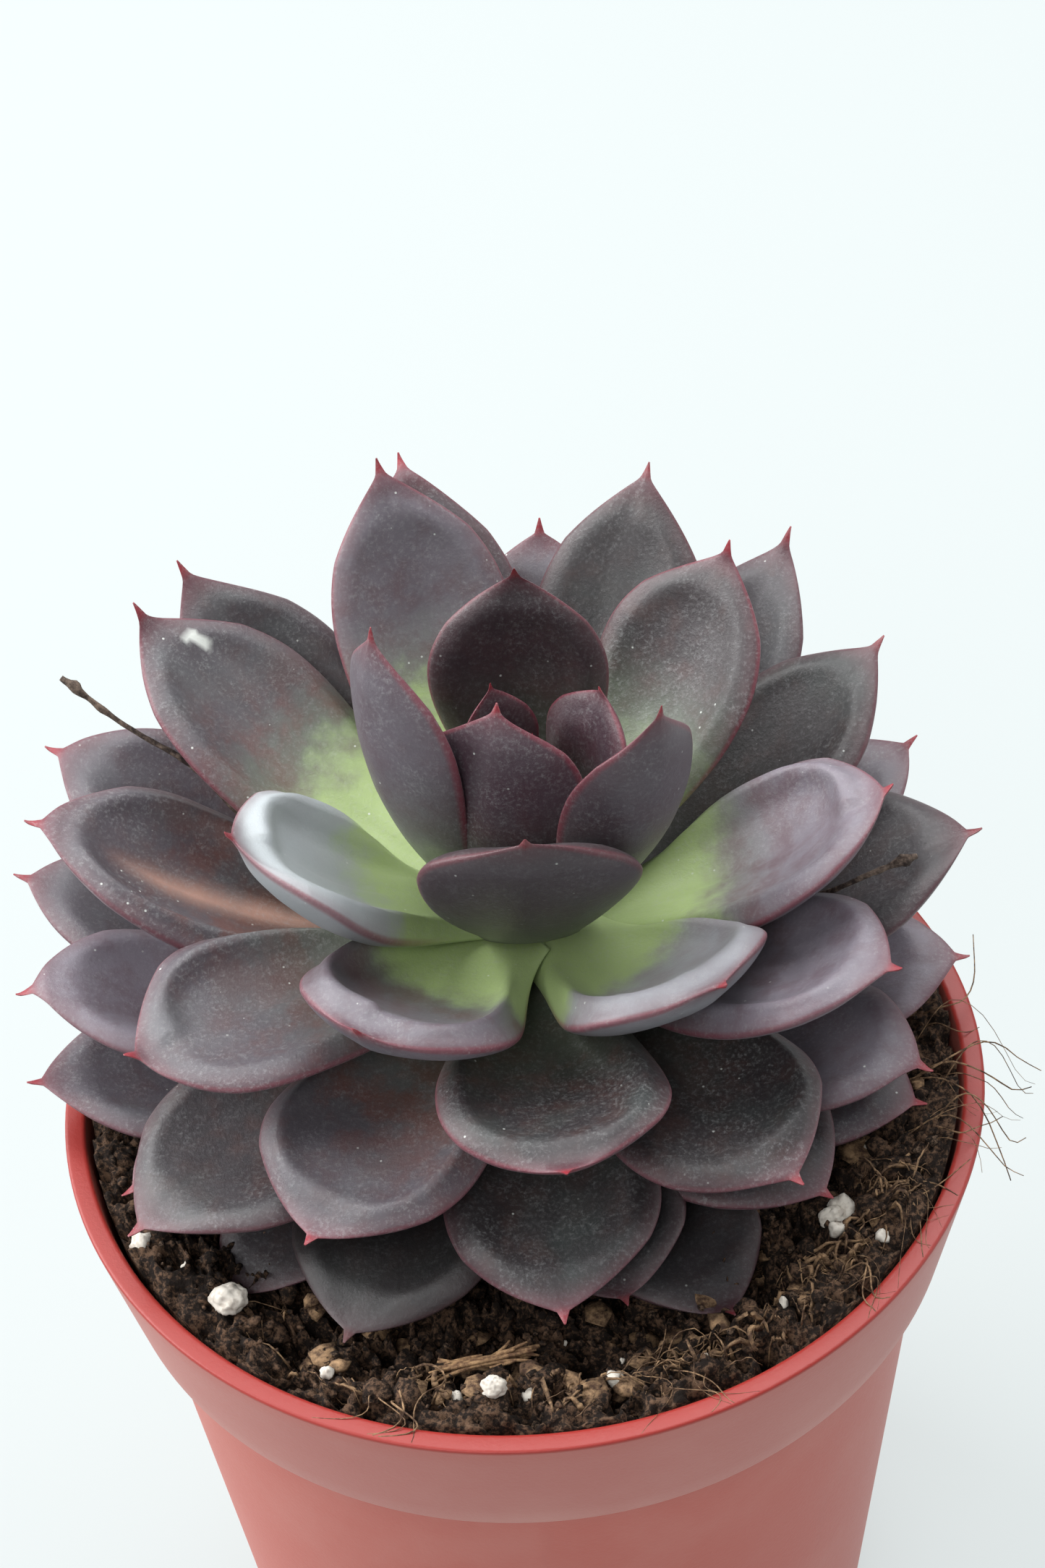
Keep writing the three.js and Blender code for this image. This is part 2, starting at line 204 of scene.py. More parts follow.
def welded(node):
    """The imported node's corners with doubles joined, and its triangles."""
    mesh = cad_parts[node].data
    mesh.calc_loop_triangles()
    points = np.empty(len(mesh.vertices) * 3, dtype=np.float32)
    mesh.vertices.foreach_get("co", points)
    faces = np.empty(len(mesh.loop_triangles) * 3, dtype=np.int32)
    mesh.loop_triangles.foreach_get("vertices", faces)
    points = points.reshape(-1, 3).astype(float)
    _, first, joined = np.unique(
        np.round(points / (2e-3 * MM)).astype(np.int64), axis=0, return_index=True, return_inverse=True
    )
    return points[first], joined.ravel()[faces].reshape(-1, 3)


def blade_rings(node):
    """A packed blade's base point, tip point and the rings of corners between them, in order."""
    points, faces = welded(node)
    touch = np.zeros((len(points), len(points)), dtype=bool)
    for a, b in ((0, 1), (1, 2), (2, 0)):
        touch[faces[:, a], faces[:, b]] = touch[faces[:, b], faces[:, a]] = True
    ends = np.flatnonzero(touch.sum(1) == LEAF_SIDES)
    stand = [np.linalg.norm(points[touch[end]].mean(0) - points[end]) for end in ends]
    base, tip = ends[np.argsort(stand)]
    level = np.full(len(points), -1)
    level[base], count, front = 0, 1, touch[base]
    while (level < 0).any():
        fresh = front & (level < 0)
        if not fresh.any():
            raise RuntimeError(f"{node} is not one blade of rings")
        level[fresh] = count
        front, count = touch[fresh].any(0), count + 1
    return points[base], points[tip], [points[level == k] for k in range(1, count - 1)]


# ---------------------------------------------------------------------------
# Materials


class Value:
    """A number socket that ordinary arithmetic works on."""

    def __init__(self, finish, socket):
        self.finish, self.socket = finish, socket

    def _maths(self, operation, *values):
        return self.finish.node("ShaderNodeMath", {"operation": operation}, dict(enumerate(values)))

    def __add__(self, other):
        return self._maths("ADD", self, other)

    def __sub__(self, other):
        return self._maths("SUBTRACT", self, other)

    def __rsub__(self, other):
        return self._maths("SUBTRACT", other, self)

    def __mul__(self, other):
        return self._maths("MULTIPLY", self, other)

    def least(self, other):
        return self._maths("MINIMUM", self, other)

    def most(self, other):
        return self._maths("MAXIMUM", self, other)

    def between(self, low, high):
        """0 at low and 1 at high, smooth between, and the other way round if low is above high."""
        down = low > high
        low, high = min(low, high), max(low, high)
        settings = {"interpolation_type": "SMOOTHSTEP"}
        made = self.finish.node(
            "ShaderNodeMapRange", settings, {"Value": self, "From Min": low, "From Max": high}
        )
        return 1 - made if down else made

    __radd__ = __add__
    __rmul__ = __mul__


class Finish:
    """A material with one Principled surface, and the nodes that colour it."""

    def __init__(self, name, **constants):
        self.material = bpy.data.materials.new(name)
        self.material.use_nodes = True
        self.tree = self.material.node_tree
        self.tree.nodes.clear()
        self.surface = self.tree.nodes.new("ShaderNodeBsdfPrincipled")
        output = self.tree.nodes.new("ShaderNodeOutputMaterial")
        self.tree.links.new(self.surface.outputs[0], output.inputs["Surface"])
        for socket, value in constants.items():
            self.surface.inputs[socket.replace("_", " ")].default_value = value

    def put(self, socket, value):
        """Links a value or another node's output to a socket, or sets the socket."""
        if isinstance(value, Value):
            self.tree.links.new(value.socket, socket)
        elif isinstance(value, bpy.types.NodeSocket):
            self.tree.links.new(value, socket)
        else:
            socket.default_value = value

    def node(self, kind, settings=None, sockets=None, output=0):
        """Makes a node, sets it up, fills its sockets, and returns one output as a Value."""
        made = self.tree.nodes.new(kind)
        for key, value in (settings or {}).items():
            setattr(made, key, value)
        for key, value in (sockets or {}).items():
            self.put(made.inputs[key], value)
        return Value(self, made.outputs[output])

    def place(self):
        return self.node("ShaderNodeTexCoord", output="Object").socket

    def attribute(self, name):
        return self.node("ShaderNodeAttribute", {"attribute_name": name}, output="Fac")

    def noise(self, pitch, detail=3.0, roughness=0.55, vector=None):
        """Cloudy noise from 0 to 1 with lumps of about the pitch, in metres."""
        sockets = {
            "Vector": vector or self.place(),
            "Scale": 1 / pitch,
            "Detail": detail,
            "Roughness": roughness,
        }
        return self.node("ShaderNodeTexNoise", None, sockets)

    def cells(self, pitch):
        """Distance to the nearest of random points about a pitch apart, as a share of it."""
        sockets = {"Vector": self.place(), "Scale": 1 / pitch}
        return self.node("ShaderNodeTexVoronoi", None, sockets, output="Distance")

    def stretched(self, x, y, z):
        """The object's coordinates with each axis multiplied."""
        settings = {"operation": "MULTIPLY"}
        sockets = {0: self.place(), 1: (x, y, z)}
        return self.node("ShaderNodeVectorMath", settings, sockets).socket

    def mix(self, first, second, share):
        """The first colour turning into the second as share goes from 0 to 1."""
        made = self.tree.nodes.new("ShaderNodeMix")
        made.data_type = "RGBA"
        self.put(made.inputs["Factor"], share)
        for socket in made.inputs:
            if socket.type == "RGBA" and socket.name in ("A", "B"):
                self.put(socket, first if socket.name == "A" else second)
        return next(socket for socket in made.outputs if socket.type == "RGBA")

    def colour(self, value):
        self.put(self.surface.inputs["Base Color"], value)

    def roughness(self, value):
        self.put(self.surface.inputs["Roughness"], value)

    def relief(self, height, depth):
        """Fine relief: height in 0 to 1 stands for this depth in metres."""
        bump = self.tree.nodes.new("ShaderNodeBump")
        bump.inputs["Strength"].default_value = 1.0
        bump.inputs["Distance"].default_value = depth
        self.put(bump.inputs["Height"], height)
        self.tree.links.new(bump.outputs["Normal"], self.surface.inputs["Normal"])


def leaf_finish(look):
    """Waxy leaf skin. The blade is dark and mottled outside and lavender inside, turns lime towards
    the heart, has a thin burgundy margin and a crimson point, and carries a pale powdery bloom.
    Painted shade darkens leaves in shadow and the feet of the dark leaves, and a painted highlight
    whitens the palest young leaves."""
    skin = Finish(
        "leaf_skin", Specular_IOR_Level=0.5, Sheen_Weight=0.05, Sheen_Roughness=0.4
    )
    skin.surface.inputs["Sheen Tint"].default_value = paint("D5DBE0")
    along, rim = skin.attribute("along"), skin.attribute("rim")
    upper, youth = skin.attribute("upper"), skin.attribute("youth")
    tone, green = skin.attribute("tone"), skin.attribute("green")
    # shift carries painted shade on leaves in shadow, with small random differences between leaves.
    shift = skin.attribute("shift")

    broad = skin.noise(9 * MM, 2.0)
    patch = skin.noise(3.2 * MM, 4.0, 0.6)
    streak = skin.attribute("streak")

    dark = skin.mix(look.dark_colour, look.brown_colour, patch.between(0.45, 0.75) * 0.8)
    dark = skin.mix(dark, look.slate_colour, broad.between(0.45, 0.7) * 0.75)
    pale = skin.mix(look.lavender_colour, look.mauve_colour, patch.between(0.4, 0.7) * 0.7)
    # Above a tone of 1 the face turns chalky: partly heavier bloom, partly a painted highlight where
    # light grazes the palest young leaves.
    pale = skin.mix(pale, look.chalk_and_highlight_colour, (tone - 1).most(0.0))
    upper_skin = skin.mix(dark, pale, tone.least(1.0))
    under_skin = skin.mix(look.under_colour, pale, tone.least(1.0) * 0.7)
    base = skin.mix(under_skin, upper_skin, upper)
    base = skin.mix(base, look.plum_colour, skin.attribute("plum") * (0.55 + patch * 0.5))

    # Red-brown flush on the sunny side of some leaves.
    flush = skin.attribute("flush") * (patch * 0.6 + broad * 0.4).between(0.4, 0.6)
    base = skin.mix(base, look.flush_colour, flush * along.between(0.85, 0.45) * 0.7)
    # Painted shade deep in the rosette: the foot of a leaf that shows no lime is darkened.
    painted_foot_shade = along.between(0.62, 0.2) * (1 - green).most(0.0) * 0.6
    base = skin.mix(base, look.painted_shade_colour, painted_foot_shade)

    # The flesh shows lime at the foot of the middle leaves, in cloudy fingers.
    foot = (along + (patch - 0.5) * 0.22 + (broad - 0.5) * 0.16).between(0.68, 0.14)
    foot = foot * green
    olive = (foot * 1.6).least(1.0) * (0.75 - tone.least(1.0) * 0.4)
    base = skin.mix(base, look.olive_colour, olive)
    base = skin.mix(base, look.lime_colour, (foot - 0.3).between(0.0, 0.65) * 0.95)

    # Rust streak where sun has marked the skin.
    base = skin.mix(base, look.rust_colour, (streak * (0.6 + patch * 0.8)).least(1.0))

    # The margin: a broad rosy fade, then a thin burgundy line, pink on the old leaves.
    outward = along.between(0.25, 0.7)
    fade = rim.between(3.2 * MM, 0.2 * MM) * outward * upper.most(0.35)
    base = skin.mix(base, look.rosy_colour, fade * (0.2 + patch * 0.35))
    line = (rim + (patch - 0.5) * 0.25 * MM).between(0.75 * MM, 0.12 * MM) * along.between(0.12, 0.5)
    margin = skin.mix(look.pink_colour, look.burgundy_colour, (youth - 0.4).between(0.0, 0.5))
    base = skin.mix(base, margin, line * (0.5 + patch * 0.4))
    point = (along + (patch - 0.5) * 0.02).between(0.88, 0.98)
    base = skin.mix(base, look.pink_colour, point * 0.7)
    base = skin.mix(base, look.crimson_colour, along.between(0.95, 0.985) * 0.95)

    # Bloom: fine pale dust, with stray white specks.
    dust = skin.noise(0.42 * MM, 5.0, 0.8)
    cover = skin.noise(5 * MM, 3.0, 0.6).between(0.3, 0.75)
    base = skin.mix(base, look.bloom_colour, dust.between(0.46, 0.74) * (0.12 + cover * 0.34))
    specks = skin.cells(1.9 * MM).between(0.08, 0.035) * skin.noise(3.1 * MM).between(0.46, 0.56)
    base = skin.mix(base, look.speck_colour, specks * 0.75)
    scar = skin.attribute("scar")
    base = skin.mix(base, look.speck_colour, scar * 0.9)
    # Painted shade on whole leaves that lie in shadow, with small random differences between leaves.
    base = skin.mix(base, look.painted_shade_colour, shift)

    skin.colour(base)
    skin.roughness(0.26 + dust * 0.2 + broad * 0.08)
    skin.relief(dust * 0.5 + patch * 0.5, 0.12 * MM)
    return skin.material


def pot_finish(look):
    """Thin red-brown moulded plastic, duller on the wall than on the lip, with faint scuffs and
    dust, and a painted highlight along the step under the collar."""
    skin = Finish("pot_plastic", Specular_IOR_Level=0.4)
    height, lip = skin.attribute("height"), skin.attribute("lip")
    cloud = skin.noise(14 * MM, 4.0)
    grain = skin.noise(0.5 * MM, 3.0, 0.7)
    scuff = skin.noise(6 * MM, 6.0, 0.7, skin.stretched(1, 1, 0.15))
    painted_step_highlight = skin.attribute("painted_step_highlight")
    wall = skin.mix(look.wall_colour, look.band_colour, height)
    # Painted highlight: a pale line along the step under the collar and a fainter pale haze above it.
    wall = skin.mix(wall, look.dust_and_highlight_colour, painted_step_highlight * (0.05 + cloud * 0.3))
    wall = skin.mix(wall, look.dust_and_highlight_colour, cloud.between(0.4, 0.8) * 0.16 + grain * 0.05)
    wall = skin.mix(wall, look.stain_colour, scuff.between(0.6, 0.8) * 0.12)
    base = skin.mix(wall, look.lip_colour, lip)
    skin.colour(base)
    skin.roughness(0.32 + grain * 0.12 + cloud * 0.1)
    skin.relief(grain * 0.6 + cloud * 0.4, 0.05 * MM)
    return skin.material


def earth_finish(name, dark, light, pitch):
    """Peat: dark matted earth with paler dry crumbs."""
    skin = Finish(name, Specular_IOR_Level=0.2)
    lumps = skin.noise(pitch, 6.0, 0.7)
    grit = skin.cells(pitch * 0.6)
    fine = skin.noise(pitch * 0.25, 4.0, 0.7)
    base = skin.mix(dark, light, (lumps * 0.5 + fine * 0.5).between(0.45, 0.62))
    skin.colour(base)
    skin.roughness(0.85 + fine * 0.12)
    skin.relief(lumps * 0.5 + grit * 0.3 + fine * 0.3, 0.5 * MM)
    return skin.material


def woody_finish(name, dark, light, along, across):
    """Dry plant fibre: fine streaks along the piece."""
    skin = Finish(name, Specular_IOR_Level=0.25)
    streaks = skin.noise(across, 5.0, 0.7)
    knots = skin.noise(along, 3.0, 0.6)
    skin.colour(skin.mix(dark, light, (streaks * 0.7 + knots * 0.3).between(0.38, 0.66)))
    skin.roughness(0.7 + streaks * 0.2)
    skin.relief(streaks, 0.15 * MM)
    return skin.material


def grain_finish(look):
    """Perlite: chalky white with small pits."""
    skin = Finish("perlite_grain", Specular_IOR_Level=0.3)
    pits = skin.cells(0.45 * MM)
    cloud = skin.noise(0.9 * MM, 4.0)
    dirt = (cloud - pits * 0.3).between(0.3, 0.5) * 0.35
    skin.colour(skin.mix(look.perlite_colour, look.light_colour, dirt))
    skin.roughness(0.8 + cloud * 0.1)
    skin.relief(pits + cloud, 0.05 * MM)
    return skin.material


# ---------------------------------------------------------------------------
# Leaves

# How lavender a leaf is, from 0 dark through 1 pale to 2 chalky, where it differs from its
# neighbours. Above 1 the chalk is partly heavier bloom and partly a painted highlight on the palest
# young leaves.
TONES = {
    1: 0.4, 4: 0.25, 5: 1.0, 7: 0.4, 12: 0.75, 13: 1.0, 16: 0.4, 17: 0.6, 18: 0.0, 20: 0.2, 21: 0.0,
    22: 0.12, 25: 0.4, 26: 0.0, 27: 0.3, 28: 0.0, 29: 0.3, 31: 1.0, 32: 0.3, 33: 0.02, 34: 0.02,
    35: 0.25, 36: 0.9, 37: 0.6, 38: 0.6, 39: 1.4, 40: 2.0, 41: 0.0, 42: 0.0, 43: 0.6, 44: 0.4,
    45: 0.25, 46: 0.0, 47: 0.2, 48: 0.2,
}
# How much lime there is at the foot of a leaf.
GREENS = {
    29: 0.3, 31: 0.35, 32: 0.4, 34: 0.3, 35: 1.5, 36: 1.4, 37: 1.5, 38: 1.9, 39: 1.5, 40: 1.5,
    41: 0.9, 42: 0.25, 43: 0.6, 44: 0.4, 45: 0.2, 46: 0.5, 47: 0.3, 48: 0.3, 49: 0.4,
}
# How plum-red the bud leaves are.
PLUMS = {41: 0.1, 42: 0.6, 43: 0.35, 44: 0.45, 45: 0.85, 46: 0.6, 47: 0.8, 48: 0.95, 49: 1.0}
# How red-brown a leaf is flushed.
FLUSHES = {
    13: 0.4, 16: 0.5, 24: 0.5, 26: 0.35, 27: 1.0, 29: 1.0, 31: 0.3, 32: 0.6, 34: 0.35, 35: 0.8, 36: 0.4,
    37: 0.6, 38: 0.5, 39: 0.3,
}
# How strong the crest inside each margin is, where it isn't slight.
CRESTS = {
    21: 0.5, 26: 0.6, 27: 1.1, 28: 0.6, 29: 0.9, 31: 0.9, 32: 0.8, 34: 0.8, 36: 1.3, 37: 1.7, 39: 1.3,
    40: 1.3,
}
# Painted shade: how much darker a leaf is painted where it lies in shadow.
PAINTED_SHADES = {
    3: 0.5, 6: 0.3, 15: 0.4, 18: 0.65, 20: 0.2, 21: 0.15, 23: 0.35, 24: 0.2, 28: 0.3, 33: 0.3,
    42: 0.5, 43: 0.15, 44: 0.3, 46: 0.35,
}
# Leaves whose blade tapers early to its point; the others are blunt.
ACUTE = {20, 22, 28, 30, 33, 35, 38, 41, 43, 44, 45, 46, 47, 48, 49}
LEAF_SEED = 100
STREAKED_LEAF = 27
SCARRED_LEAF = 35


def outline(share, look, acute):
    """Half width over the greatest half width. It swells from the base as a squared sine to the
    shoulder, falls as a root of one less a power to the end of the blade, and runs into a slender
    point. An acute blade tapers sooner."""
    shoulder, end = 0.67 - 0.06 * acute, 0.965
    swell = np.sin(np.pi / 2 * np.clip(share / shoulder, 0, 1)) ** 1.7
    rising = look.base_width + (1 - look.base_width) * swell
    past = np.clip((share - shoulder) / (end - shoulder), 0, 1)
    blade = rising * np.clip(1 - past**2.1, 0, 1) ** (0.7 + 0.3 * acute)
    point = 0.01 + look.point_width * np.clip((1 - share) / 0.2, 0, 1) ** 1.15
    return (blade**2 + point**2) ** 0.5


def leaf_mesh(node, number, look, rng, acute):
    """One fleshy blade. With s along it from base to tip and a the angle round its section:
    across = half(s) cos a; up = mid(s) + cup(s) cos^2 a + thick(s) top(cos a) above, or
    - thick(s) keel(cos a) below. top is nearly flat, with a soft crest inside each margin."""
    base, tip, rings = blade_rings(node)
    chord = tip - base
    length = np.linalg.norm(chord)
    x_axis = chord / length
    widest = max(rings, key=lambda ring: np.ptp(ring @ np.cross(x_axis, [0.0, 0.0, 1.0])))
    gaps = np.linalg.norm(widest[:, None] - widest[None], axis=-1)
    one, other = np.unravel_index(gaps.argmax(), gaps.shape)
    y_axis = (widest[one] - widest[other]) / gaps.max()
    z_axis = np.cross(x_axis, y_axis)
    if z_axis[2] < 0:
        y_axis, z_axis = -y_axis, -z_axis
    local = [(ring - base) @ np.stack([x_axis, y_axis, z_axis], -1) for ring in rings]
    stations = np.array([0, *[ring[:, 0].mean() / length for ring in local], 1])
    middle = [ring[np.argsort(np.abs(ring[:, 1]))[:2], 2] for ring in local]
    mid = np.array([0, *[pair.mean() for pair in middle], 0])
    margin = [ring[np.argsort(np.abs(ring[:, 1]))[-2:], 2].mean() for ring in local]
    width = gaps.max()
    sag = -mid[np.abs(mid).argmax()]
    rise = max(edge - pair.mean() for edge, pair in zip(margin, middle)) + look.cup * width
    plump = width * look.plumpness / 2

    along = 1 - (1 - np.linspace(0, 1, look.rings)) ** 1.35
    sections = look.sections
    s, a = np.meshgrid(along, circle(sections), indexing="ij")
    c, above = np.cos(a), np.sin(a)

    uneven = rng.normal(size=8)
    half = outline(s, look, acute) * width / 2
    half = half * (1 + 0.03 * np.sin(5 * s + uneven[0] * 3) * np.sign(c))
    swell = 0.42 + 0.58 * np.sin(np.pi * np.clip(s, 0, 0.96) ** 0.92)
    thick = plump * swell * (1 - smooth(0.84, 0.985, s) * 0.75)
    thick = np.minimum(thick, half * 1.1)
    cup = rise * outline(s, look, acute) ** 2 * np.sqrt(s)
    # soft relief of the upper face
    crest = look.crest * CRESTS.get(number, 0.35) * smooth(0.12, 0.5, s) * (1 - smooth(0.88, 0.98, s))
    crest = crest * (1 + 0.35 * uneven[2] * np.sign(c))
    side_gap = half * (1 - np.abs(c)) + 0.02 * MM
    tip_gap = (1 - s) * length * 0.5 + 0.02 * MM
    inward = (side_gap**-3 + tip_gap**-3) ** (-1 / 3)
    top = (1 - np.exp(-inward / look.bevel)) ** 0.75
    top = top + crest * bell(inward, 1.7 * look.bevel, 0.6 * look.bevel)
    dish = (0.32 + 0.5 * crest) * smooth(1.3 * look.bevel, 5 * look.bevel, inward)
    top = top - dish * smooth(0.05, 0.4, s)
    for i in range(2):
        at = uneven[1 + i] * 0.35 + (0.25 - 0.5 * i) * s
        top = top + 0.09 * uneven[3 + i] * bell(c, at, 0.1) * np.sin(np.pi * s)
    keel = 1.1 * np.clip(1 - c**2, 0, 1) ** 0.58 + 0.12 * bell(c, 0, 0.2) * smooth(0.3, 0.8, s)
    skin = np.where(above >= 0, thick * top, -thick * keel)
    line = np.interp(s, stations, mid)
    smooth_line = -sag * 4 * s * (1 - s)
    curl = 0.018 * length * uneven[5] * smooth(0.55, 1.0, s)
    ripple = 0.03 * width * np.sin(2 * np.pi * (1.4 * s + uneven[6])) * c * np.abs(c) * s
    lift = 0.45 * line + 0.55 * smooth_line + curl * (s < 1) * (1 - smooth(0.93, 1, s))
    up = lift + cup * c**2 + skin + ripple * (1 - smooth(0.85, 1, s))
    twist = math.radians(3.5) * uneven[7] * (s - 0.5)
    across = half * c
    y = across * np.cos(twist) - (up - lift) * np.sin(twist)
    z = lift + across * np.sin(twist) + (up - lift) * np.cos(twist)
    grid = base + s[..., None] * length * x_axis + y[..., None] * y_axis + z[..., None] * z_axis

    # distance in from the margin over the surface, shortened towards the tip
    into = np.minimum(half * (1 - np.abs(c)) + np.abs(skin) * 0.6, (1 - s) * length * 1.2 + 0.2 * MM)
    values = {
        "along": (s, 0.0, 1.0),
        "rim": (into, 0.0, 0.0),
        "upper": (smooth(-0.12, 0.12, above), 0.5, 0.5),
    }
    mesh = closed_mesh(node + "_blade", grid, base, tip)
    for name, (field, first, last) in values.items():
        add_attribute(mesh, name, np.append(field.ravel(), [first, last]))
    return mesh, s, c, above


def sun_streak(s, c, above):
    """A soft line along the upper face, slanting a little, which fades out at both ends."""
    ends = smooth(0.12, 0.4, s) * (1 - smooth(0.62, 0.85, s))
    return bell(c, 0.05 + 0.25 * (s - 0.5), 0.13) * ends * (above > 0)


def pale_scar(s, c, above):
    """A small wedge near the tip of the upper face, broadening towards the tip."""
    wedge = (s - 0.79) * 2.2 - np.abs(c + 0.42)
    return smooth(0, 0.04, wedge) * (1 - smooth(0.865, 0.88, s)) * (above > 0)


class SUCCULENT_OT_leaves(bpy.types.Operator):
    """Makes every leaf of the rosette as a fleshy pointed blade"""

    bl_idname = "succulent.leaves"
    bl_label = "Leaves"

    def execute(self, context):
        look = context.scene.succulent_leaves
        skin = leaf_finish(look)
        for number in range(1, LEAF_COUNT + 1):
            node = f"leaf_{number:02d}"
            rng = np.random.default_rng(LEAF_SEED + number)
            acute = 1.0 if number in ACUTE else 0.3
            mesh, s, c, above = leaf_mesh(node, number, look, rng, acute)
            whole_leaf = {
                "youth": (number - 1) / (LEAF_COUNT - 1),
                "tone": TONES.get(number, 0.05 + 0.1 * rng.random()),
                "green": GREENS.get(number, 0.12),
                "flush": FLUSHES.get(number, 0.2),
                "plum": PLUMS.get(number, 0.0),
                # Painted shade for a leaf in shadow, with a small random darkening on top.
                "shift": PAINTED_SHADES.get(number, 0.0) + rng.uniform(0.0, 0.12),
            }
            for name, value in whole_leaf.items():
                add_attribute(mesh, name, np.full(s.size + 2, value))
            marks = {
                "streak": sun_streak(s, c, above) * (number == STREAKED_LEAF),
                "scar": pale_scar(s, c, above) * (number == SCARRED_LEAF),
            }
            for name, field in marks.items():
                add_attribute(mesh, name, np.append(field.ravel(), [0.0, 0.0]))
            add_piece(node + "_blade", mesh, skin, [node])
        return {"FINISHED"}


# ---------------------------------------------------------------------------
# Stem and dried stalks

STALK_SEED = 20


def stalk_mesh(name, node, look, rng):
    """A shrivelled flower stalk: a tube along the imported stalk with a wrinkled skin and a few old
    bract scars, ending in a crumpled knob. Radius = r (1 + wrinkles) and swells at the end."""
    base, tip, rings = blade_rings(node)
    middles = np.array([base, *[ring.mean(0) for ring in rings], tip])
    reach = np.linalg.norm(middles - base, axis=1) / np.linalg.norm(tip - base)
    rows, sides = 110, 14
    s = np.linspace(0, 1, rows)
    path = np.stack([np.interp(s, reach, middles[:, i]) for i in range(3)], -1)
    wander = np.stack([waves(s[:, None] * 40, rng, 22, 6) for _ in range(3)], -1)
    path = path + 0.45 * MM * wander * np.sin(np.pi * s)[:, None]
    side, up = across_path(path)
    grid_s, grid_a = np.meshgrid(s, circle(sides), indexing="ij")
    around = np.stack([np.cos(grid_a), np.sin(grid_a), grid_s * 30], -1)
    wrinkle = 0.16 * waves(around, rng, 1.6, 20) + 0.1 * np.sin(3 * grid_a + 9 * grid_s)
    knob = bell(grid_s, 0.965, 0.022) + 0.3 * bell(grid_s, 0.9, 0.012)
    taper = 1.1 - 0.35 * grid_s + 0.95 * knob + 0.5 * bell(grid_s, 0.0, 0.05)
    radius = look.stalk_width / 2 * taper
    radius = radius * (1 + wrinkle + 0.3 * knob * waves(around, rng, 0.9, 20))
    skin = path[:, None] + radius[..., None] * (
        np.cos(grid_a)[..., None] * side[:, None] + np.sin(grid_a)[..., None] * up[:, None]
    )
    return closed_mesh(name, skin, path[0], path[-1])


class SUCCULENT_OT_stems(bpy.types.Operator):
    """Makes the short stem under the rosette and the two dried flower stalks"""

    bl_idname = "succulent.stems"
    bl_label = "Stem and Stalks"

    def execute(self, context):
        look = context.scene.succulent_stems
        low, high = (np.array(corner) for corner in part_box("stem"))
        rows, sides = 60, 40
        s = np.linspace(0, 1, rows)
        points, _ = welded("stem")
        foot = points[points[:, 2] < low[2] + 2 * MM].mean(0)
        top = points[points[:, 2] > high[2] - 1.2 * MM].mean(0)
        path = foot + (top - foot) * s[:, None]
        path[:, 2] = low[2] + (high[2] - low[2]) * s
        grid_s, grid_a = np.meshgrid(s, circle(sides), indexing="ij")
        profile = np.interp(grid_s, [0, 0.04, 0.16, 0.93, 1], [0.4, 0.72, 1, 0.4, 0.15])
        scars = bell(np.mod(grid_s * 26 + grid_a / (2 * np.pi) * 2, 1), 0.5, 0.2)
        radius = look.foot_radius * profile * (1 - 0.05 * scars)
        ring = np.stack([np.cos(grid_a), np.sin(grid_a), 0 * grid_a], -1)
        skin = path[:, None] + radius[..., None] * ring
        mesh = closed_mesh("stem_bark", skin, path[0], path[-1])
        bark = woody_finish("stem_skin", look.bark_colour, look.green_colour, 3 * MM, 1.2 * MM)
        add_piece("stem_bark", mesh, bark, ["stem"])
        dry = woody_finish("stalk_skin", look.dry_dark_colour, look.dry_light_colour, 4 * MM, 0.7 * MM)
        for seed, side in enumerate(("left", "right")):
            node = f"dried_stalk_{side}"
            name = f"flower_stalk_{side}"
            mesh = stalk_mesh(name, node, look, np.random.default_rng(STALK_SEED + seed))
            add_piece(name, mesh, dry, [node])
        return {"FINISHED"}


# ---------------------------------------------------------------------------
# Pot


def rounded(profile, radius, steps=5):
    """A profile of [radius, height] corners with each inner corner turned into a small arc: the
    two nearest points on its sides joined by a quadratic curve through the corner's pull."""
    made = [profile[0]]
    for before, corner, after in zip(profile, profile[1:], profile[2:]):
        back, ahead = before - corner, after - corner
        room = min(radius, np.linalg.norm(back) * 0.4, np.linalg.norm(ahead) * 0.4)
        start = corner + back / np.linalg.norm(back) * room
        end = corner + ahead / np.linalg.norm(ahead) * room
        share = np.linspace(0, 1, steps)[:, None]
        made.extend((1 - share) ** 2 * start + 2 * share * (1 - share) * corner + share**2 * end)
    made.append(profile[-1])
    return np.array(made)


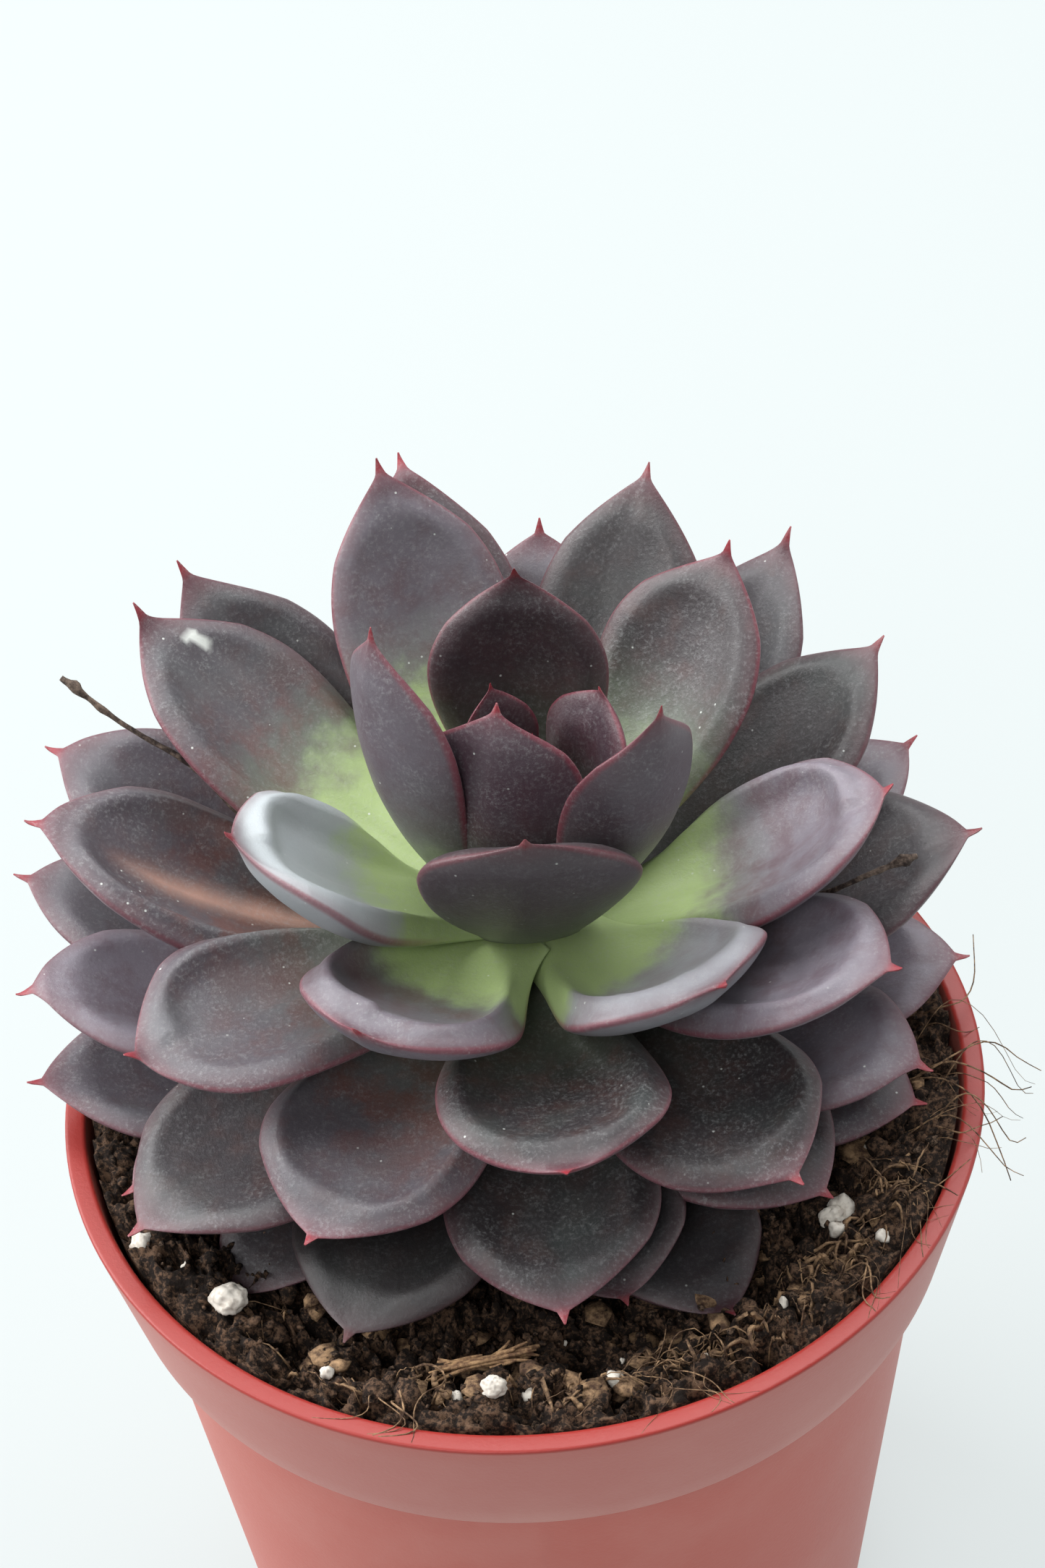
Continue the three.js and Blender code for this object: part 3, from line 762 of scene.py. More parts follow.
class SUCCULENT_OT_pot(bpy.types.Operator):
    """Makes the thin moulded pot with its lip, collar, step and drained base"""

    bl_idname = "succulent.pot"
    bl_label = "Pot"

    def execute(self, context):
        look = context.scene.succulent_pot
        points, _ = welded("pot")
        reach = np.hypot(points[:, 0], points[:, 1])
        height = points[:, 2].max()
        rim = reach.max()
        band_low = height - look.band_height
        at_band = reach[np.abs(points[:, 2] - band_low) < 0.01 * MM]
        band, neck = at_band.max(), at_band.min()
        lip_inner = reach[np.abs(points[:, 2] - height) < 0.01 * MM].min()
        foot = reach[points[:, 2] < 2 * MM].max()
        wall, floor, arch = look.wall, look.floor, look.arch
        disc = look.disc_radius
        ledge = band_low + wall
        inner_low = foot - wall + (neck - foot) * (arch + floor) / band_low
        profile = np.array([
            [disc, 0], [disc, arch], [foot - look.foot_width, arch],
            [foot - look.foot_width, 0], [foot, 0], [neck, band_low], [band, band_low],
            [rim, height], [lip_inner, height], [band - wall, ledge], [neck - wall, ledge],
            [inner_low, arch + floor], [disc, arch + floor], [disc - floor, floor],
        ])
        ends = np.array([[0.02 * MM, 0.0]]), np.array([[0.02 * MM, floor]])
        curve = rounded(np.vstack([ends[0], profile, ends[1]]), look.edge_radius)
        curve = subdivided(curve, 2.5 * MM)
        sides = 180
        turn = circle(sides)
        radius, level = np.meshgrid(curve[:, 0], turn, indexing="ij")[0], curve[:, 1]
        angle = np.broadcast_to(turn, radius.shape)
        sway = 0.12 * MM * np.sin(2 * angle + 0.7) * smooth(0, height, level)[:, None]
        radius = radius + sway * (radius > foot * 0.9)
        level = np.broadcast_to(level[:, None], radius.shape)
        skin = np.stack([radius * np.cos(angle), radius * np.sin(angle), level], -1)
        mesh = closed_mesh("pot_shell", skin, [0, 0, 0], [0, 0, floor])
        mesh = self.drained(mesh, (disc + foot - look.foot_width) / 2, look)
        count = len(mesh.vertices)
        co = np.empty(count * 3, dtype=np.float32)
        mesh.vertices.foreach_get("co", co)
        co = co.reshape(-1, 3)
        add_attribute(mesh, "height", smooth(band_low - 1 * MM, band_low + 1 * MM, co[:, 2]))
        inner = np.hypot(co[:, 0], co[:, 1])
        # Painted highlight: a pale line along the step and a broader pale haze above it.
        painted_step_highlight = bell(co[:, 2], band_low, 1.0 * MM) + 0.35 * bell(co[:, 2], band_low + 3 * MM, 4 * MM)
        add_attribute(mesh, "painted_step_highlight", painted_step_highlight * (co[:, 2] > band_low - 0.1 * MM))
        lip = smooth(height - 0.5 * MM, height - 0.1 * MM, co[:, 2])
        lip = lip * smooth(lip_inner - 1 * MM, lip_inner, inner)
        add_attribute(mesh, "lip", lip)
        add_piece("pot_shell", mesh, pot_finish(look), ["pot"])
        return {"FINISHED"}

    def drained(self, mesh, circle, look):
        """Cuts the ring of drain holes through the raised base ring."""
        turns = (np.arange(look.drain_count) + 0.5) * 2 * np.pi / look.drain_count
        centres = np.stack([circle * np.cos(turns), circle * np.sin(turns), 0 * turns], -1)
        path = centres[:, None] + np.array([[0, 0, -1 * MM], [0, 0, 8 * MM]])
        radii = np.full(path.shape[:2], look.drain_radius)
        cutter_mesh = make_mesh("drain_cutter", *tubes(path, radii, 24))
        shell = bpy.data.objects.new("drain_shell", mesh)
        cutter = bpy.data.objects.new("drain_cutter", cutter_mesh)
        for thing in (shell, cutter):
            bpy.context.scene.collection.objects.link(thing)
        cut = shell.modifiers.new("drains", "BOOLEAN")
        cut.operation, cut.solver, cut.object = "DIFFERENCE", "EXACT", cutter
        graph = bpy.context.evaluated_depsgraph_get()
        made = bpy.data.meshes.new_from_object(shell.evaluated_get(graph))
        made.name = "pot_shell"
        for thing in (shell, cutter):
            bpy.data.objects.remove(thing)
        return made


def subdivided(curve, spacing):
    """A profile with points put in so that no step is longer than the spacing."""
    made = [curve[:1]]
    for start, end in zip(curve, curve[1:]):
        steps = max(1, math.ceil(np.linalg.norm(end - start) / spacing))
        share = np.linspace(0, 1, steps + 1)[1:, None]
        made.append(start + (end - start) * share)
    return np.vstack(made)


# ---------------------------------------------------------------------------
# Soil

SOIL_SEED = 3
CRUMB_SEED = 11
FIBRE_SIDES = 3
SOIL_REACH = 41.8  # millimetres from the middle to the wall
# Heaps and hollows in the soil: x, y, spread and rise, in millimetres.
HEAPS = (
    (38, -6, 10, 3.4), (33, -21, 8, 1.6), (-33, -22, 8, 1.6), (-8, -36, 7, 0.5), (18, -34, 9, 0.4),
    (37, 12, 9, 2.0), (-40, 2, 8, 1.2), (-24, -31, 6, -1.4), (7, -30, 8, -1.6),
)


def soil_height(x, y, look):
    """The soil's height above its packed level: heaps at the wall, hollows between, and crumbly
    lumps as the sum of folded random waves at falling pitches."""
    place = np.stack([x, y], -1)
    rng = np.random.default_rng(SOIL_SEED)
    heaps = np.zeros(x.shape)
    for hx, hy, size, rise in HEAPS:
        gap = ((x - hx * MM) ** 2 + (y - hy * MM) ** 2) / (size * MM) ** 2
        heaps = heaps + rise * MM * np.exp(-gap)
    wall = np.hypot(x, y) / (SOIL_REACH * MM)
    edge = waves(place, rng, 12 * MM)
    heaps = heaps + (5.0 * MM + 1.0 * MM * edge) * smooth(0.76, 0.97, wall)
    lumps = 0.8 * waves(place, rng, 8 * MM)
    lumps = lumps + 0.9 * (1 - 2 * np.abs(waves(place, rng, 4.2 * MM)))
    lumps = lumps + 0.5 * (1 - 2 * np.abs(waves(place, rng, 1.9 * MM, 32)))
    lumps = lumps + 0.2 * (1 - 2 * np.abs(waves(place, rng, 1.0 * MM, 40)))
    lumps = lumps + 0.1 * waves(place, rng, 0.55 * MM, 40)
    height = heaps + look.lumpiness * lumps
    return np.where(height > 0, look.most_heap * np.tanh(height / look.most_heap), height)


def scatter(rng, count, inner, outer):
    """Random points on the ring of open soil, evenly over its area."""
    reach = np.sqrt(rng.uniform(inner**2, outer**2, count))
    turn = rng.uniform(0, 2 * np.pi, count)
    return reach * np.cos(turn), reach * np.sin(turn)


def clods(rng, x, y, z, size, flat=0.7):
    """Rough grains: a twelve-cornered ball with each corner pushed in or out, turned at random,
    squashed and set down."""
    gold = (1 + math.sqrt(5)) / 2
    corner = np.array([(0, 1, gold), (0, -1, gold), (0, 1, -gold), (0, -1, -gold)], dtype=float)
    ball = np.vstack([corner, corner[:, [1, 2, 0]], corner[:, [2, 0, 1]]])
    ball /= np.linalg.norm(ball[0])
    near = np.linalg.norm(ball[:, None] - ball[None], axis=-1)
    touch = (near > 0.1) & (near < 1.2)
    faces = [
        (i, j, k)
        for i in range(12) for j in range(i + 1, 12) for k in range(j + 1, 12)
        if touch[i, j] and touch[j, k] and touch[i, k]
    ]
    faces = np.array(faces)
    a, b, c = (ball[faces[:, i]] for i in range(3))
    wrong = np.einsum("ij,ij->i", a, np.cross(b, c)) < 0
    faces[wrong] = faces[wrong][:, ::-1]
    count = len(x)
    shape = ball[None] * rng.uniform(0.62, 1.25, (count, 12, 1))
    shape = shape * rng.uniform(0.6, 1.3, (count, 1, 3))
    spin, _ = np.linalg.qr(rng.normal(size=(count, 3, 3)))
    spin[np.linalg.det(spin) < 0, :, 0] *= -1
    shape = np.einsum("nij,nkj->nki", spin, shape)
    shape[:, :, 2] *= flat
    points = shape * size[:, None, None] + np.stack([x, y, z], -1)[:, None]
    return repeated(points, np.zeros((0, 4), dtype=int), faces)


def pebbles(rng, x, y, z, size):
    """Rounded puffed grains: balls of unit directions u with radius 1 + lumps(u), different on
    every grain, each squashed a little."""
    rows, sides = 9, 14
    ball = ball_points(rows, sides)
    count = len(x)
    where = ball[None] + rng.uniform(-9, 9, (count, 1, 3))
    lumps = 1 + 0.2 * waves(where, rng, 1.6, 16) + 0.1 * waves(where, rng, 0.7, 24)
    shape = ball[None] * lumps[..., None] * rng.uniform(0.75, 1.15, (count, 1, 3))
    points = shape * size[:, None, None] + np.stack([x, y, z], -1)[:, None]
    quads, caps = loft_faces(rows, sides)
    return repeated(points, quads, caps)


def strands(rng, x, y, z, length, radius, droop, rows=8):
    """Loose fibres: each starts at a point, heads off at random and bends as a curve whose
    heading turns steadily, with its middle lifted a little."""
    count = len(x)
    s = np.linspace(0, 1, rows)
    heading = rng.uniform(0, 2 * np.pi, count)[:, None] + rng.normal(0, 1.1, count)[:, None] * s
    step = length[:, None] / (rows - 1)
    px = x[:, None] + np.cumsum(np.cos(heading) * step, 1)
    py = y[:, None] + np.cumsum(np.sin(heading) * step, 1)
    arch = rng.uniform(0.2, 1.0, count)[:, None] * droop
    pz = z[:, None] + arch * np.sin(np.pi * s) + rng.normal(0, 0.3 * MM, (count, rows)) * 0.5
    paths = np.stack([px, py, pz], -1)
    radii = radius[:, None] * (1 - 0.6 * s)[None]
    return paths, radii


def under_leaves(points, most=90 * MM):
    """Which points lie in plan beneath a leaf whose tip hangs lower than the given height. A leaf
    is taken as an oval from its base to its tip."""
    covered = np.zeros(points.shape[:-1], dtype=bool)
    for number in range(1, LEAF_COUNT + 1):
        base, tip, rings = blade_rings(f"leaf_{number:02d}")
        if tip[2] > most:
            continue
        chord = (tip - base)[:2]
        length = np.linalg.norm(chord)
        width = max(np.linalg.norm(np.ptp(ring[:, :2], axis=0)) for ring in rings)
        offset = points[..., :2] - base[:2]
        along = offset @ chord / length**2
        across = np.abs(offset[..., 0] * chord[1] - offset[..., 1] * chord[0]) / length
        oval = (width / 2 + 0.6 * MM) * np.sqrt(np.clip(1 - (2 * along - 1.1) ** 2, 0, 1))
        covered |= (along > 0.0) & (along < 1.03) & (across < oval)
    return covered


def add_bed(look, low, level, outer, earth):
    """The heaped top, then down inside the wall and across the bottom."""
    rows, sides = 150, 620
    share = np.linspace(0.25, 1, rows)
    turn = circle(sides)
    grid_r, grid_a = np.meshgrid(share * outer, turn, indexing="ij")
    x, y = grid_r * np.cos(grid_a), grid_r * np.sin(grid_a)
    rise = soil_height(x, y, look)
    z = level + rise + look.crown * (1 - grid_r / outer)
    lean = 1 + 0.1 * np.clip(rise, 0, None) / outer * smooth(0.9, 1.0, grid_r / outer)
    top = np.stack([x * lean, y * lean, z], -1)
    sides_down = []
    for radius, height in ((outer - 0.5 * MM, level - 4 * MM), (outer - 3 * MM, low[2] + 62 * MM),
                           (outer - 12 * MM, low[2] + 1 * MM)):
        ring = np.stack([radius * np.cos(turn), radius * np.sin(turn), np.full(sides, height)], -1)
        sides_down.append(ring[None])
    skin = np.concatenate([top, *sides_down])
    mesh = closed_mesh("peat_bed", skin, [0, 0, level + look.crown], [0, 0, low[2] + 1 * MM])
    add_piece("peat_bed", mesh, earth, ["soil"])


def add_crumbs(rng, look, outer, on_soil, earth, crumb):
    """Loose grains of peat in three sizes, lying on the open soil."""
    for name, count, small, large, sink, material in (
        ("crumbs_fine", look.fine_crumbs, 0.18, 0.55, 0.1, earth),
        ("crumbs_dry", look.dry_crumbs, 0.2, 0.7, 0.15, crumb),
        ("clods", look.clods, 0.6, 1.9, 0.4, earth),
    ):
        px, py = scatter(rng, count, 14 * MM, outer - 1.2 * MM)
        size = MM * (small + (large - small) * rng.random(count) ** 2.2)
        keep = np.hypot(px, py) < outer - size * 1.3
        px, py, size = px[keep], py[keep], size[keep]
        grains = clods(rng, px, py, on_soil(px, py) + size * (0.5 - sink), size)
        add_piece(name, make_mesh(name, *grains), material)


def add_fibres(rng, look, outer, on_soil, fibre):
    """Fibres in tufts on the open soil, none of them under a low leaf or through the peat."""
    count = look.fibres
    px, py = scatter(rng, count, 18 * MM, outer - 3 * MM)
    tuft = rng.integers(0, count // 14, count)
    px = px[tuft] + rng.normal(0, 2.0 * MM, count)
    py = py[tuft] + rng.normal(0, 2.0 * MM, count)
    length = MM * (1.0 + 5 * rng.random(count) ** 2)
    radius = MM * (0.07 + 0.36 * rng.random(count) ** 3)
    start = on_soil(px, py) + 0.2 * MM
    paths, radii = strands(rng, px, py, start, length, radius, 1.8 * MM)
    far = np.hypot(paths[..., 0], paths[..., 1]).max(1)
    keep = (far < outer - 0.3 * MM) & ~under_leaves(paths).any(1)
    paths, radii = paths[keep], radii[keep]
    lift = on_soil(paths[..., 0], paths[..., 1]) - paths[..., 2]
    paths[..., 2] += np.clip(lift, 0, None) + 0.05 * MM
    mesh = make_mesh("peat_fibres", *tubes(paths, radii, FIBRE_SIDES))
    add_piece("peat_fibres", mesh, fibre)


def add_bark(rng, look, outer, on_soil, fibre):
    """Flat bits of bark."""
    count = look.bark_bits
    px, py = scatter(rng, count, 16 * MM, outer - 3 * MM)
    size = MM * rng.uniform(0.7, 2.0, count)
    bits = clods(rng, px, py, on_soil(px, py), size, 0.35)
    add_piece("bark_bits", make_mesh("bark_bits", *bits), fibre)


class SUCCULENT_OT_soil(bpy.types.Operator):
    """Makes the heaped peat with its crumbs, bark bits and fibres"""

    bl_idname = "succulent.soil"
    bl_label = "Soil"

    def execute(self, context):
        look = context.scene.succulent_soil
        low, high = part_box("soil")
        points, _ = welded("soil")
        level = high[2] - look.crown
        reach = np.hypot(points[:, 0], points[:, 1])
        outer = reach[np.abs(points[:, 2] - level) < 0.3 * MM].max()
        earth = earth_finish("peat", look.dark_colour, look.brown_colour, 2.2 * MM)
        crumb = earth_finish("crumbs", look.dark_colour, look.light_colour, 1.3 * MM)

        add_bed(look, low, level, outer, earth)

        def on_soil(px, py):
            far = np.hypot(px, py)
            return level + soil_height(px, py, look) + look.crown * (1 - far / outer)

        rng = np.random.default_rng(CRUMB_SEED)
        add_crumbs(rng, look, outer, on_soil, earth, crumb)
        fibre = woody_finish("fibre", look.fibre_dark_colour, look.fibre_light_colour, 3 * MM, 0.8 * MM)
        add_fibres(rng, look, outer, on_soil, fibre)
        add_bark(rng, look, outer, on_soil, fibre)
        return {"FINISHED"}


# ---------------------------------------------------------------------------
# Grains, twig and roots

LITTER_SEED = 31
# The larger white specks: x, y and radius, in millimetres.
WHITE_SPECKS = (
    (-37, -17, 1.3), (28, -22.5, 1.0), (-8.6, -37.2, 0.85), (-5, -37.6, 1.0),
    (-1.8, -37.6, 0.8), (5.8, -36.5, 0.8), (-20, -34, 0.65), (-16, -33.5, 0.5),
    (33, -12, 0.8), (-33, -20, 0.6), (14, -35, 0.5), (22, -30, 0.6),
    (36, 4, 0.6), (-24, -27, 0.5), (29, -19, 1.2), (32, -24, 0.7),
)
# Where tufts of roots cross the rim, in radians round from +X.
ROOT_TUFTS = (0.02, -0.1, -0.12, -0.3, -0.5, -0.78, -1.25, -1.9)


def grain_mesh(name, centre, half, rng):
    """A puffed mineral grain: a ball of unit directions u with radius 1 + lumps(u), stretched to
    half sizes in x, y and z."""
    rows, sides = 26, 36
    points = ball_points(rows, sides)
    lumps = 1 + 0.1 * waves(points, rng, 1.5, 16) + 0.07 * waves(points, rng, 0.6, 24)
    points = centre + points * lumps[:, None] * half * 0.96
    return make_mesh(name, points, *loft_faces(rows, sides))


def add_grains(look, chalk, rng):
    """The largest perlite grains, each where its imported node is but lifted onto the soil."""
    for number in (1, 2, 3):
        node = f"perlite_{number}"
        low, high = (np.array(corner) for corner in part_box(node))
        centre = (low + high) / 2
        centre[2] += 0.9 * soil_height(centre[0], centre[1], look)
        mesh = grain_mesh(f"white_grain_{number}", centre, (high - low) / 2, rng)
        add_piece(f"white_grain_{number}", mesh, chalk, [node])


def add_specks(look, chalk, rng):
    """The smaller perlite: some placed, and tiny ones strewn over the open soil."""
    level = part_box("soil")[1][2] - look.crown
    spots = np.array(WHITE_SPECKS) * MM
    jitter = rng.uniform(-1, 1, (look.small_grains, 2)) * 38 * MM
    far = np.hypot(jitter[:, 0], jitter[:, 1])
    jitter = jitter[(far > 24 * MM) & (far < 39 * MM)]
    extra = np.column_stack([jitter, rng.uniform(0.12, 0.32, len(jitter)) * MM])
    spots = np.vstack([spots, extra])
    x, y, size = spots.T
    z = level + soil_height(x, y, look) + size * 0.45
    mesh = make_mesh("white_specks", *pebbles(rng, x, y, z, size))
    add_piece("white_specks", mesh, chalk)


def add_twig(look, rng):
    """The broken twig: a thin shaft and a spray of splinters at each end."""
    points, _ = welded("twig")
    spread = points - points.mean(0)
    _, _, axes = np.linalg.svd(spread, full_matrices=False)
    lean = axes[0] * np.sign(axes[0][0])
    reach = spread @ lean
    start, end = (points.mean(0) + lean * far for far in (reach.min(), reach.max()))
    under = start + (end - start) * np.linspace(0, 1, 9)[:, None]
    lift = 0.8 * soil_height(under[:, 0], under[:, 1], look).max()
    start[2] += lift
    end[2] += lift
    count, rows = look.splinters, 16
    shafts = 7  # strands that run from end to end
    s = np.linspace(0, 1, rows)
    first = rng.uniform(-0.08, 0.75, count)
    first[:shafts] = rng.uniform(-0.05, 0.05, shafts)
    last = first + rng.uniform(0.2, 0.5, count)
    last[:shafts] = rng.uniform(0.9, 1.1, shafts)
    where = first[:, None] + (last - first)[:, None] * s
    offset = rng.normal(0, 0.28 * MM, (count, 1, 3)) * np.array([1, 1, 0.8])
    flare = rng.normal(0, 1.3 * MM, (count, 1, 3)) * np.array([1, 1, 0.7])
    flare[:shafts] *= 0.3
    open_end = np.abs(where - 0.5)[..., None] ** 2.2 * 3
    paths = start + (end - start) * where[..., None] + offset + flare * open_end
    paths[..., 2] = np.maximum(paths[..., 2], start[2] - 0.3 * MM)
    radii = look.twig_radius * rng.uniform(0.12, 0.32, count)[:, None]
    radii = radii * (1 - 0.55 * np.abs(2 * s - 1) ** 3)
    radii[:shafts] *= 1.6
    dark, light = look.twig_dark_colour, look.twig_light_colour
    wood = woody_finish("twig_bark", dark, light, 2 * MM, 0.6 * MM)
    mesh = make_mesh("broken_twig", *tubes(paths, radii, 7))
    add_piece("broken_twig", mesh, wood, ["twig"])


def add_roots(look, rng):
    """Root hairs that spill over the rim."""
    rim_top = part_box("pot")[1][2]
    count = look.root_hairs
    s = np.linspace(0, 1, 14)
    start_turn = rng.choice(np.array(ROOT_TUFTS), count)[:, None]
    start_turn = start_turn + rng.normal(0, 0.03, count)[:, None]
    bold = (start_turn[:, 0] > -0.4) * rng.random(count)
    drift = rng.normal(0, 0.09, count)[:, None]
    inside, outside = rng.uniform(36, 40, count), 44.5 + 6 * bold
    reach = MM * (inside[:, None] + (outside - inside)[:, None] * s)
    curl = rng.uniform(0.01, 0.05, count)[:, None]
    curl = curl * np.sin(6 * s + rng.uniform(0, 6, count)[:, None])
    angle = start_turn + drift * s**2 + curl
    over = (0.5 + 3.2 * bold)[:, None] * MM
    fall = rng.uniform(-1.5, 5.0, count)[:, None] * MM * bold[:, None]
    height = rim_top + over * np.sin(np.pi * np.clip(s * 1.15, 0, 1))
    height = height - fall * smooth(0.6, 1.0, s)[None]
    height = height - 1.2 * MM * (1 - smooth(0, 0.4, s))[None]
    paths = np.stack([reach * np.cos(angle), reach * np.sin(angle), height], -1)
    radii = MM * (0.04 + 0.12 * rng.random(count) ** 2)[:, None] * (1 - 0.6 * s)
    fibre = bpy.data.materials["fibre"]
    add_piece("root_hairs", make_mesh("root_hairs", *tubes(paths, radii, 4)), fibre)


class SUCCULENT_OT_litter(bpy.types.Operator):
    """Makes the perlite grains, the broken twig and the roots that hang over the rim"""

    bl_idname = "succulent.litter"
    bl_label = "Grains, Twig and Roots"

    def execute(self, context):
        look = context.scene.succulent_soil
        chalk = grain_finish(look)
        rng = np.random.default_rng(LITTER_SEED)
        add_grains(look, chalk, rng)
        add_specks(look, chalk, rng)
        add_twig(look, rng)
        add_roots(look, rng)
        return {"FINISHED"}


# ---------------------------------------------------------------------------
# Stage

CAMERA_PLACE = (0.0, -0.214, 0.3185)  # metres
CAMERA_HEADING = 0.6  # degrees to the right of straight back
CAMERA_TILT = 43.07  # degrees below level
CAMERA_ROLL = 4.55  # degrees, the right side dropped
FLOOR_REACH = 6.0  # metres from the middle of the floor to its sides
LIGHTS_AIM = (0, 0, 0.09)  # the middle of the rosette, in metres


class SUCCULENT_OT_stage(bpy.types.Operator):
    """Makes the pale floor, the soft lights and the camera"""

    bl_idname = "succulent.stage"
    bl_label = "Stage"

    def execute(self, context):
        look = context.scene.succulent_stage
        scene = context.scene
        signs = ((-1, -1), (1, -1), (1, 1), (-1, 1))
        corners = [(x * FLOOR_REACH, y * FLOOR_REACH, 0) for x, y in signs]
        mesh = bpy.data.meshes.new("floor")
        mesh.from_pydata(corners, [], [(0, 1, 2, 3)])
        floor = bpy.data.objects.new("floor", mesh)
        scene.collection.objects.link(floor)
        ground = Finish(
            "floor_paint", Roughness=0.9, Specular_IOR_Level=0.0, Emission_Strength=look.floor_glow
        )
        ground.surface.inputs["Emission Color"].default_value = look.glow_colour
        ground.surface.inputs["Base Color"].default_value = look.floor_colour
        mesh.materials.append(ground.material)

        world = bpy.data.worlds.new("studio")
        scene.world = world
        world.use_nodes = True
        background = world.node_tree.nodes["Background"]
        background.inputs["Color"].default_value = look.sky_colour
        background.inputs["Strength"].default_value = look.sky_strength

        for name, place, width, power in (
            ("window", (-0.9, 0.3, 0.75), 0.9, look.window_power),
            ("overhead", (0.1, 0.45, 0.95), 0.8, look.overhead_power),
            ("right_fill", (1.0, 0.1, 0.45), 0.8, look.fill_power),
            ("front_sheen", (-0.3, -0.7, 0.85), 0.5, look.sheen_power),
        ):
            lamp = bpy.data.lights.new(name, "AREA")
            lamp.shape, lamp.size, lamp.energy = "SQUARE", width, power
            light = bpy.data.objects.new(name, lamp)
            scene.collection.objects.link(light)
            light.location = place
            aim = Vector(LIGHTS_AIM) - Vector(place)
            light.rotation_euler = aim.to_track_quat("-Z", "Y").to_euler()

        lens = bpy.data.cameras.new("camera")
        lens.sensor_fit, lens.sensor_width, lens.sensor_height = "VERTICAL", 36.0, 36.0
        lens.lens = look.lens
        lens.clip_start, lens.clip_end = 0.01, 20.0
        camera = bpy.data.objects.new("camera", lens)
        scene.collection.objects.link(camera)
        turn = (
            Matrix.Rotation(math.radians(-CAMERA_HEADING), 3, "Z")
            @ Matrix.Rotation(math.radians(90 - CAMERA_TILT), 3, "X")
            @ Matrix.Rotation(math.radians(-CAMERA_ROLL), 3, "Z")
        )
        camera.matrix_world = Matrix.LocRotScale(Vector(CAMERA_PLACE), turn.to_quaternion(), None)
        scene.camera = camera
        scene.view_settings.view_transform = "Standard"
        scene.view_settings.exposure = look.exposure
        return {"FINISHED"}


# ---------------------------------------------------------------------------
# Settings


def colour(name, code, description):
    return FloatVectorProperty(
        name=name, description=description, default=paint(code), size=4, min=0, max=1, subtype="COLOR"
    )


def size(name, millimetres, description):
    return FloatProperty(
        name=name, description=description, default=millimetres * MM, unit="LENGTH", precision=5
    )


def share(name, value, description):
    return FloatProperty(name=name, description=description, default=value, precision=3)


def amount(name, value, description):
    return IntProperty(name=name, description=description, default=value, min=0)


class LeafSettings(bpy.types.PropertyGroup):
    bevel: size("Bevel", 1.35, "How far the rounded margin runs in before the face flattens")
    plumpness: share("Plumpness", 0.23, "Greatest thickness over greatest width")
    base_width: share("Base Width", 0.34, "Width at the stem over greatest width")
    point_width: share("Point Width", 0.38, "Width where the point starts over greatest width")
    crest: share("Crest", 0.42, "Height of the soft crest inside the margin over half the thickness")
    cup: share("Cup", 0.035, "Extra rise of the margins over the width")
    rings: amount("Rings", 84, "Steps from base to tip")
    sections: amount("Sections", 64, "Steps round a section")
    dark_colour: colour("Dark", "2F2A2C", "Upper face of the outer leaves")
    brown_colour: colour("Brown", "40302E", "Mottling on the outer leaves")
    slate_colour: colour("Slate", "343B3A", "Grey-green clouds on the outer leaves")
    # Partly heavier bloom, partly a painted highlight where light grazes the palest young leaves.
    chalk_and_highlight_colour: colour("Chalk", "AEB5B8", "Upper face of the most powdery young leaf")
    flush_colour: colour("Flush", "6A4038", "Red-brown patches")
    plum_colour: colour("Plum", "422833", "Bud leaves")
    lavender_colour: colour("Lavender", "7C757F", "Upper face of the young leaves")
    mauve_colour: colour("Mauve", "695862", "Mottling on the young leaves")
    under_colour: colour("Underside", "48434A", "Underside of the leaves")
    olive_colour: colour("Olive", "7F8C76", "Where lime fades into the dark skin")
    lime_colour: colour("Lime", "9DB274", "Foot of the middle leaves")
    rust_colour: colour("Rust", "B08A7C", "Sun-marked streak")
    rosy_colour: colour("Rosy", "6E4C52", "Fade towards the margin")
    pink_colour: colour("Pink", "663842", "Margin of the outer leaves and base of the point")
    burgundy_colour: colour("Burgundy", "7A2A3A", "Margin of the inner leaves")
    crimson_colour: colour("Crimson", "8E2430", "The point")
    bloom_colour: colour("Bloom", "A9ABAB", "Powdery bloom")
    speck_colour: colour("Specks", "D8DCD6", "Stray white specks and scars")
    # Painted shade, used on the feet of the dark leaves and on leaves in shadow.
    painted_shade_colour: colour("Shade", "242222", "What the darker leaves lean to")


class StemSettings(bpy.types.PropertyGroup):
    foot_radius: size("Foot Radius", 5.2, "The stem's radius where it leaves the soil")
    stalk_width: size("Stalk Width", 0.62, "Width of a dried stalk")
    bark_colour: colour("Bark", "4C4A38", "Old stem")
    green_colour: colour("Green", "6F7A4C", "Young stem")
    dry_dark_colour: colour("Dry Dark", "2E2522", "Shadowed side of the dried stalks")
    dry_light_colour: colour("Dry Light", "7A6A5E", "Bleached side of the dried stalks")


class PotSettings(bpy.types.PropertyGroup):
    band_height: size("Collar Height", 15.3, "From the step to the lip")
    wall: size("Wall", 1.1, "Thickness of the wall")
    floor: size("Floor", 1.2, "Thickness of the base")
    arch: size("Arch", 2.5, "How far the drained ring is lifted")
    disc_radius: size("Disc", 24.0, "Flat middle of the base")
    foot_width: size("Foot", 4.7, "Width of the standing ring")
    edge_radius: size("Edge", 0.45, "Rounding of the moulded edges")
    drain_radius: size("Drain", 1.7, "Radius of a drain hole")
    drain_count: amount("Drains", 8, "Number of drain holes")
    wall_colour: colour("Wall", "AE5042", "The pot's wall")
    band_colour: colour("Collar", "A85A50", "The collar under the lip")
    lip_colour: colour("Lip", "8E2A24", "The flat lip")
    # Also paints the highlight along the collar's step.
    dust_and_highlight_colour: colour("Dust", "C79A90", "Pale dust on the wall")
    stain_colour: colour("Stain", "7C4239", "Old water marks")


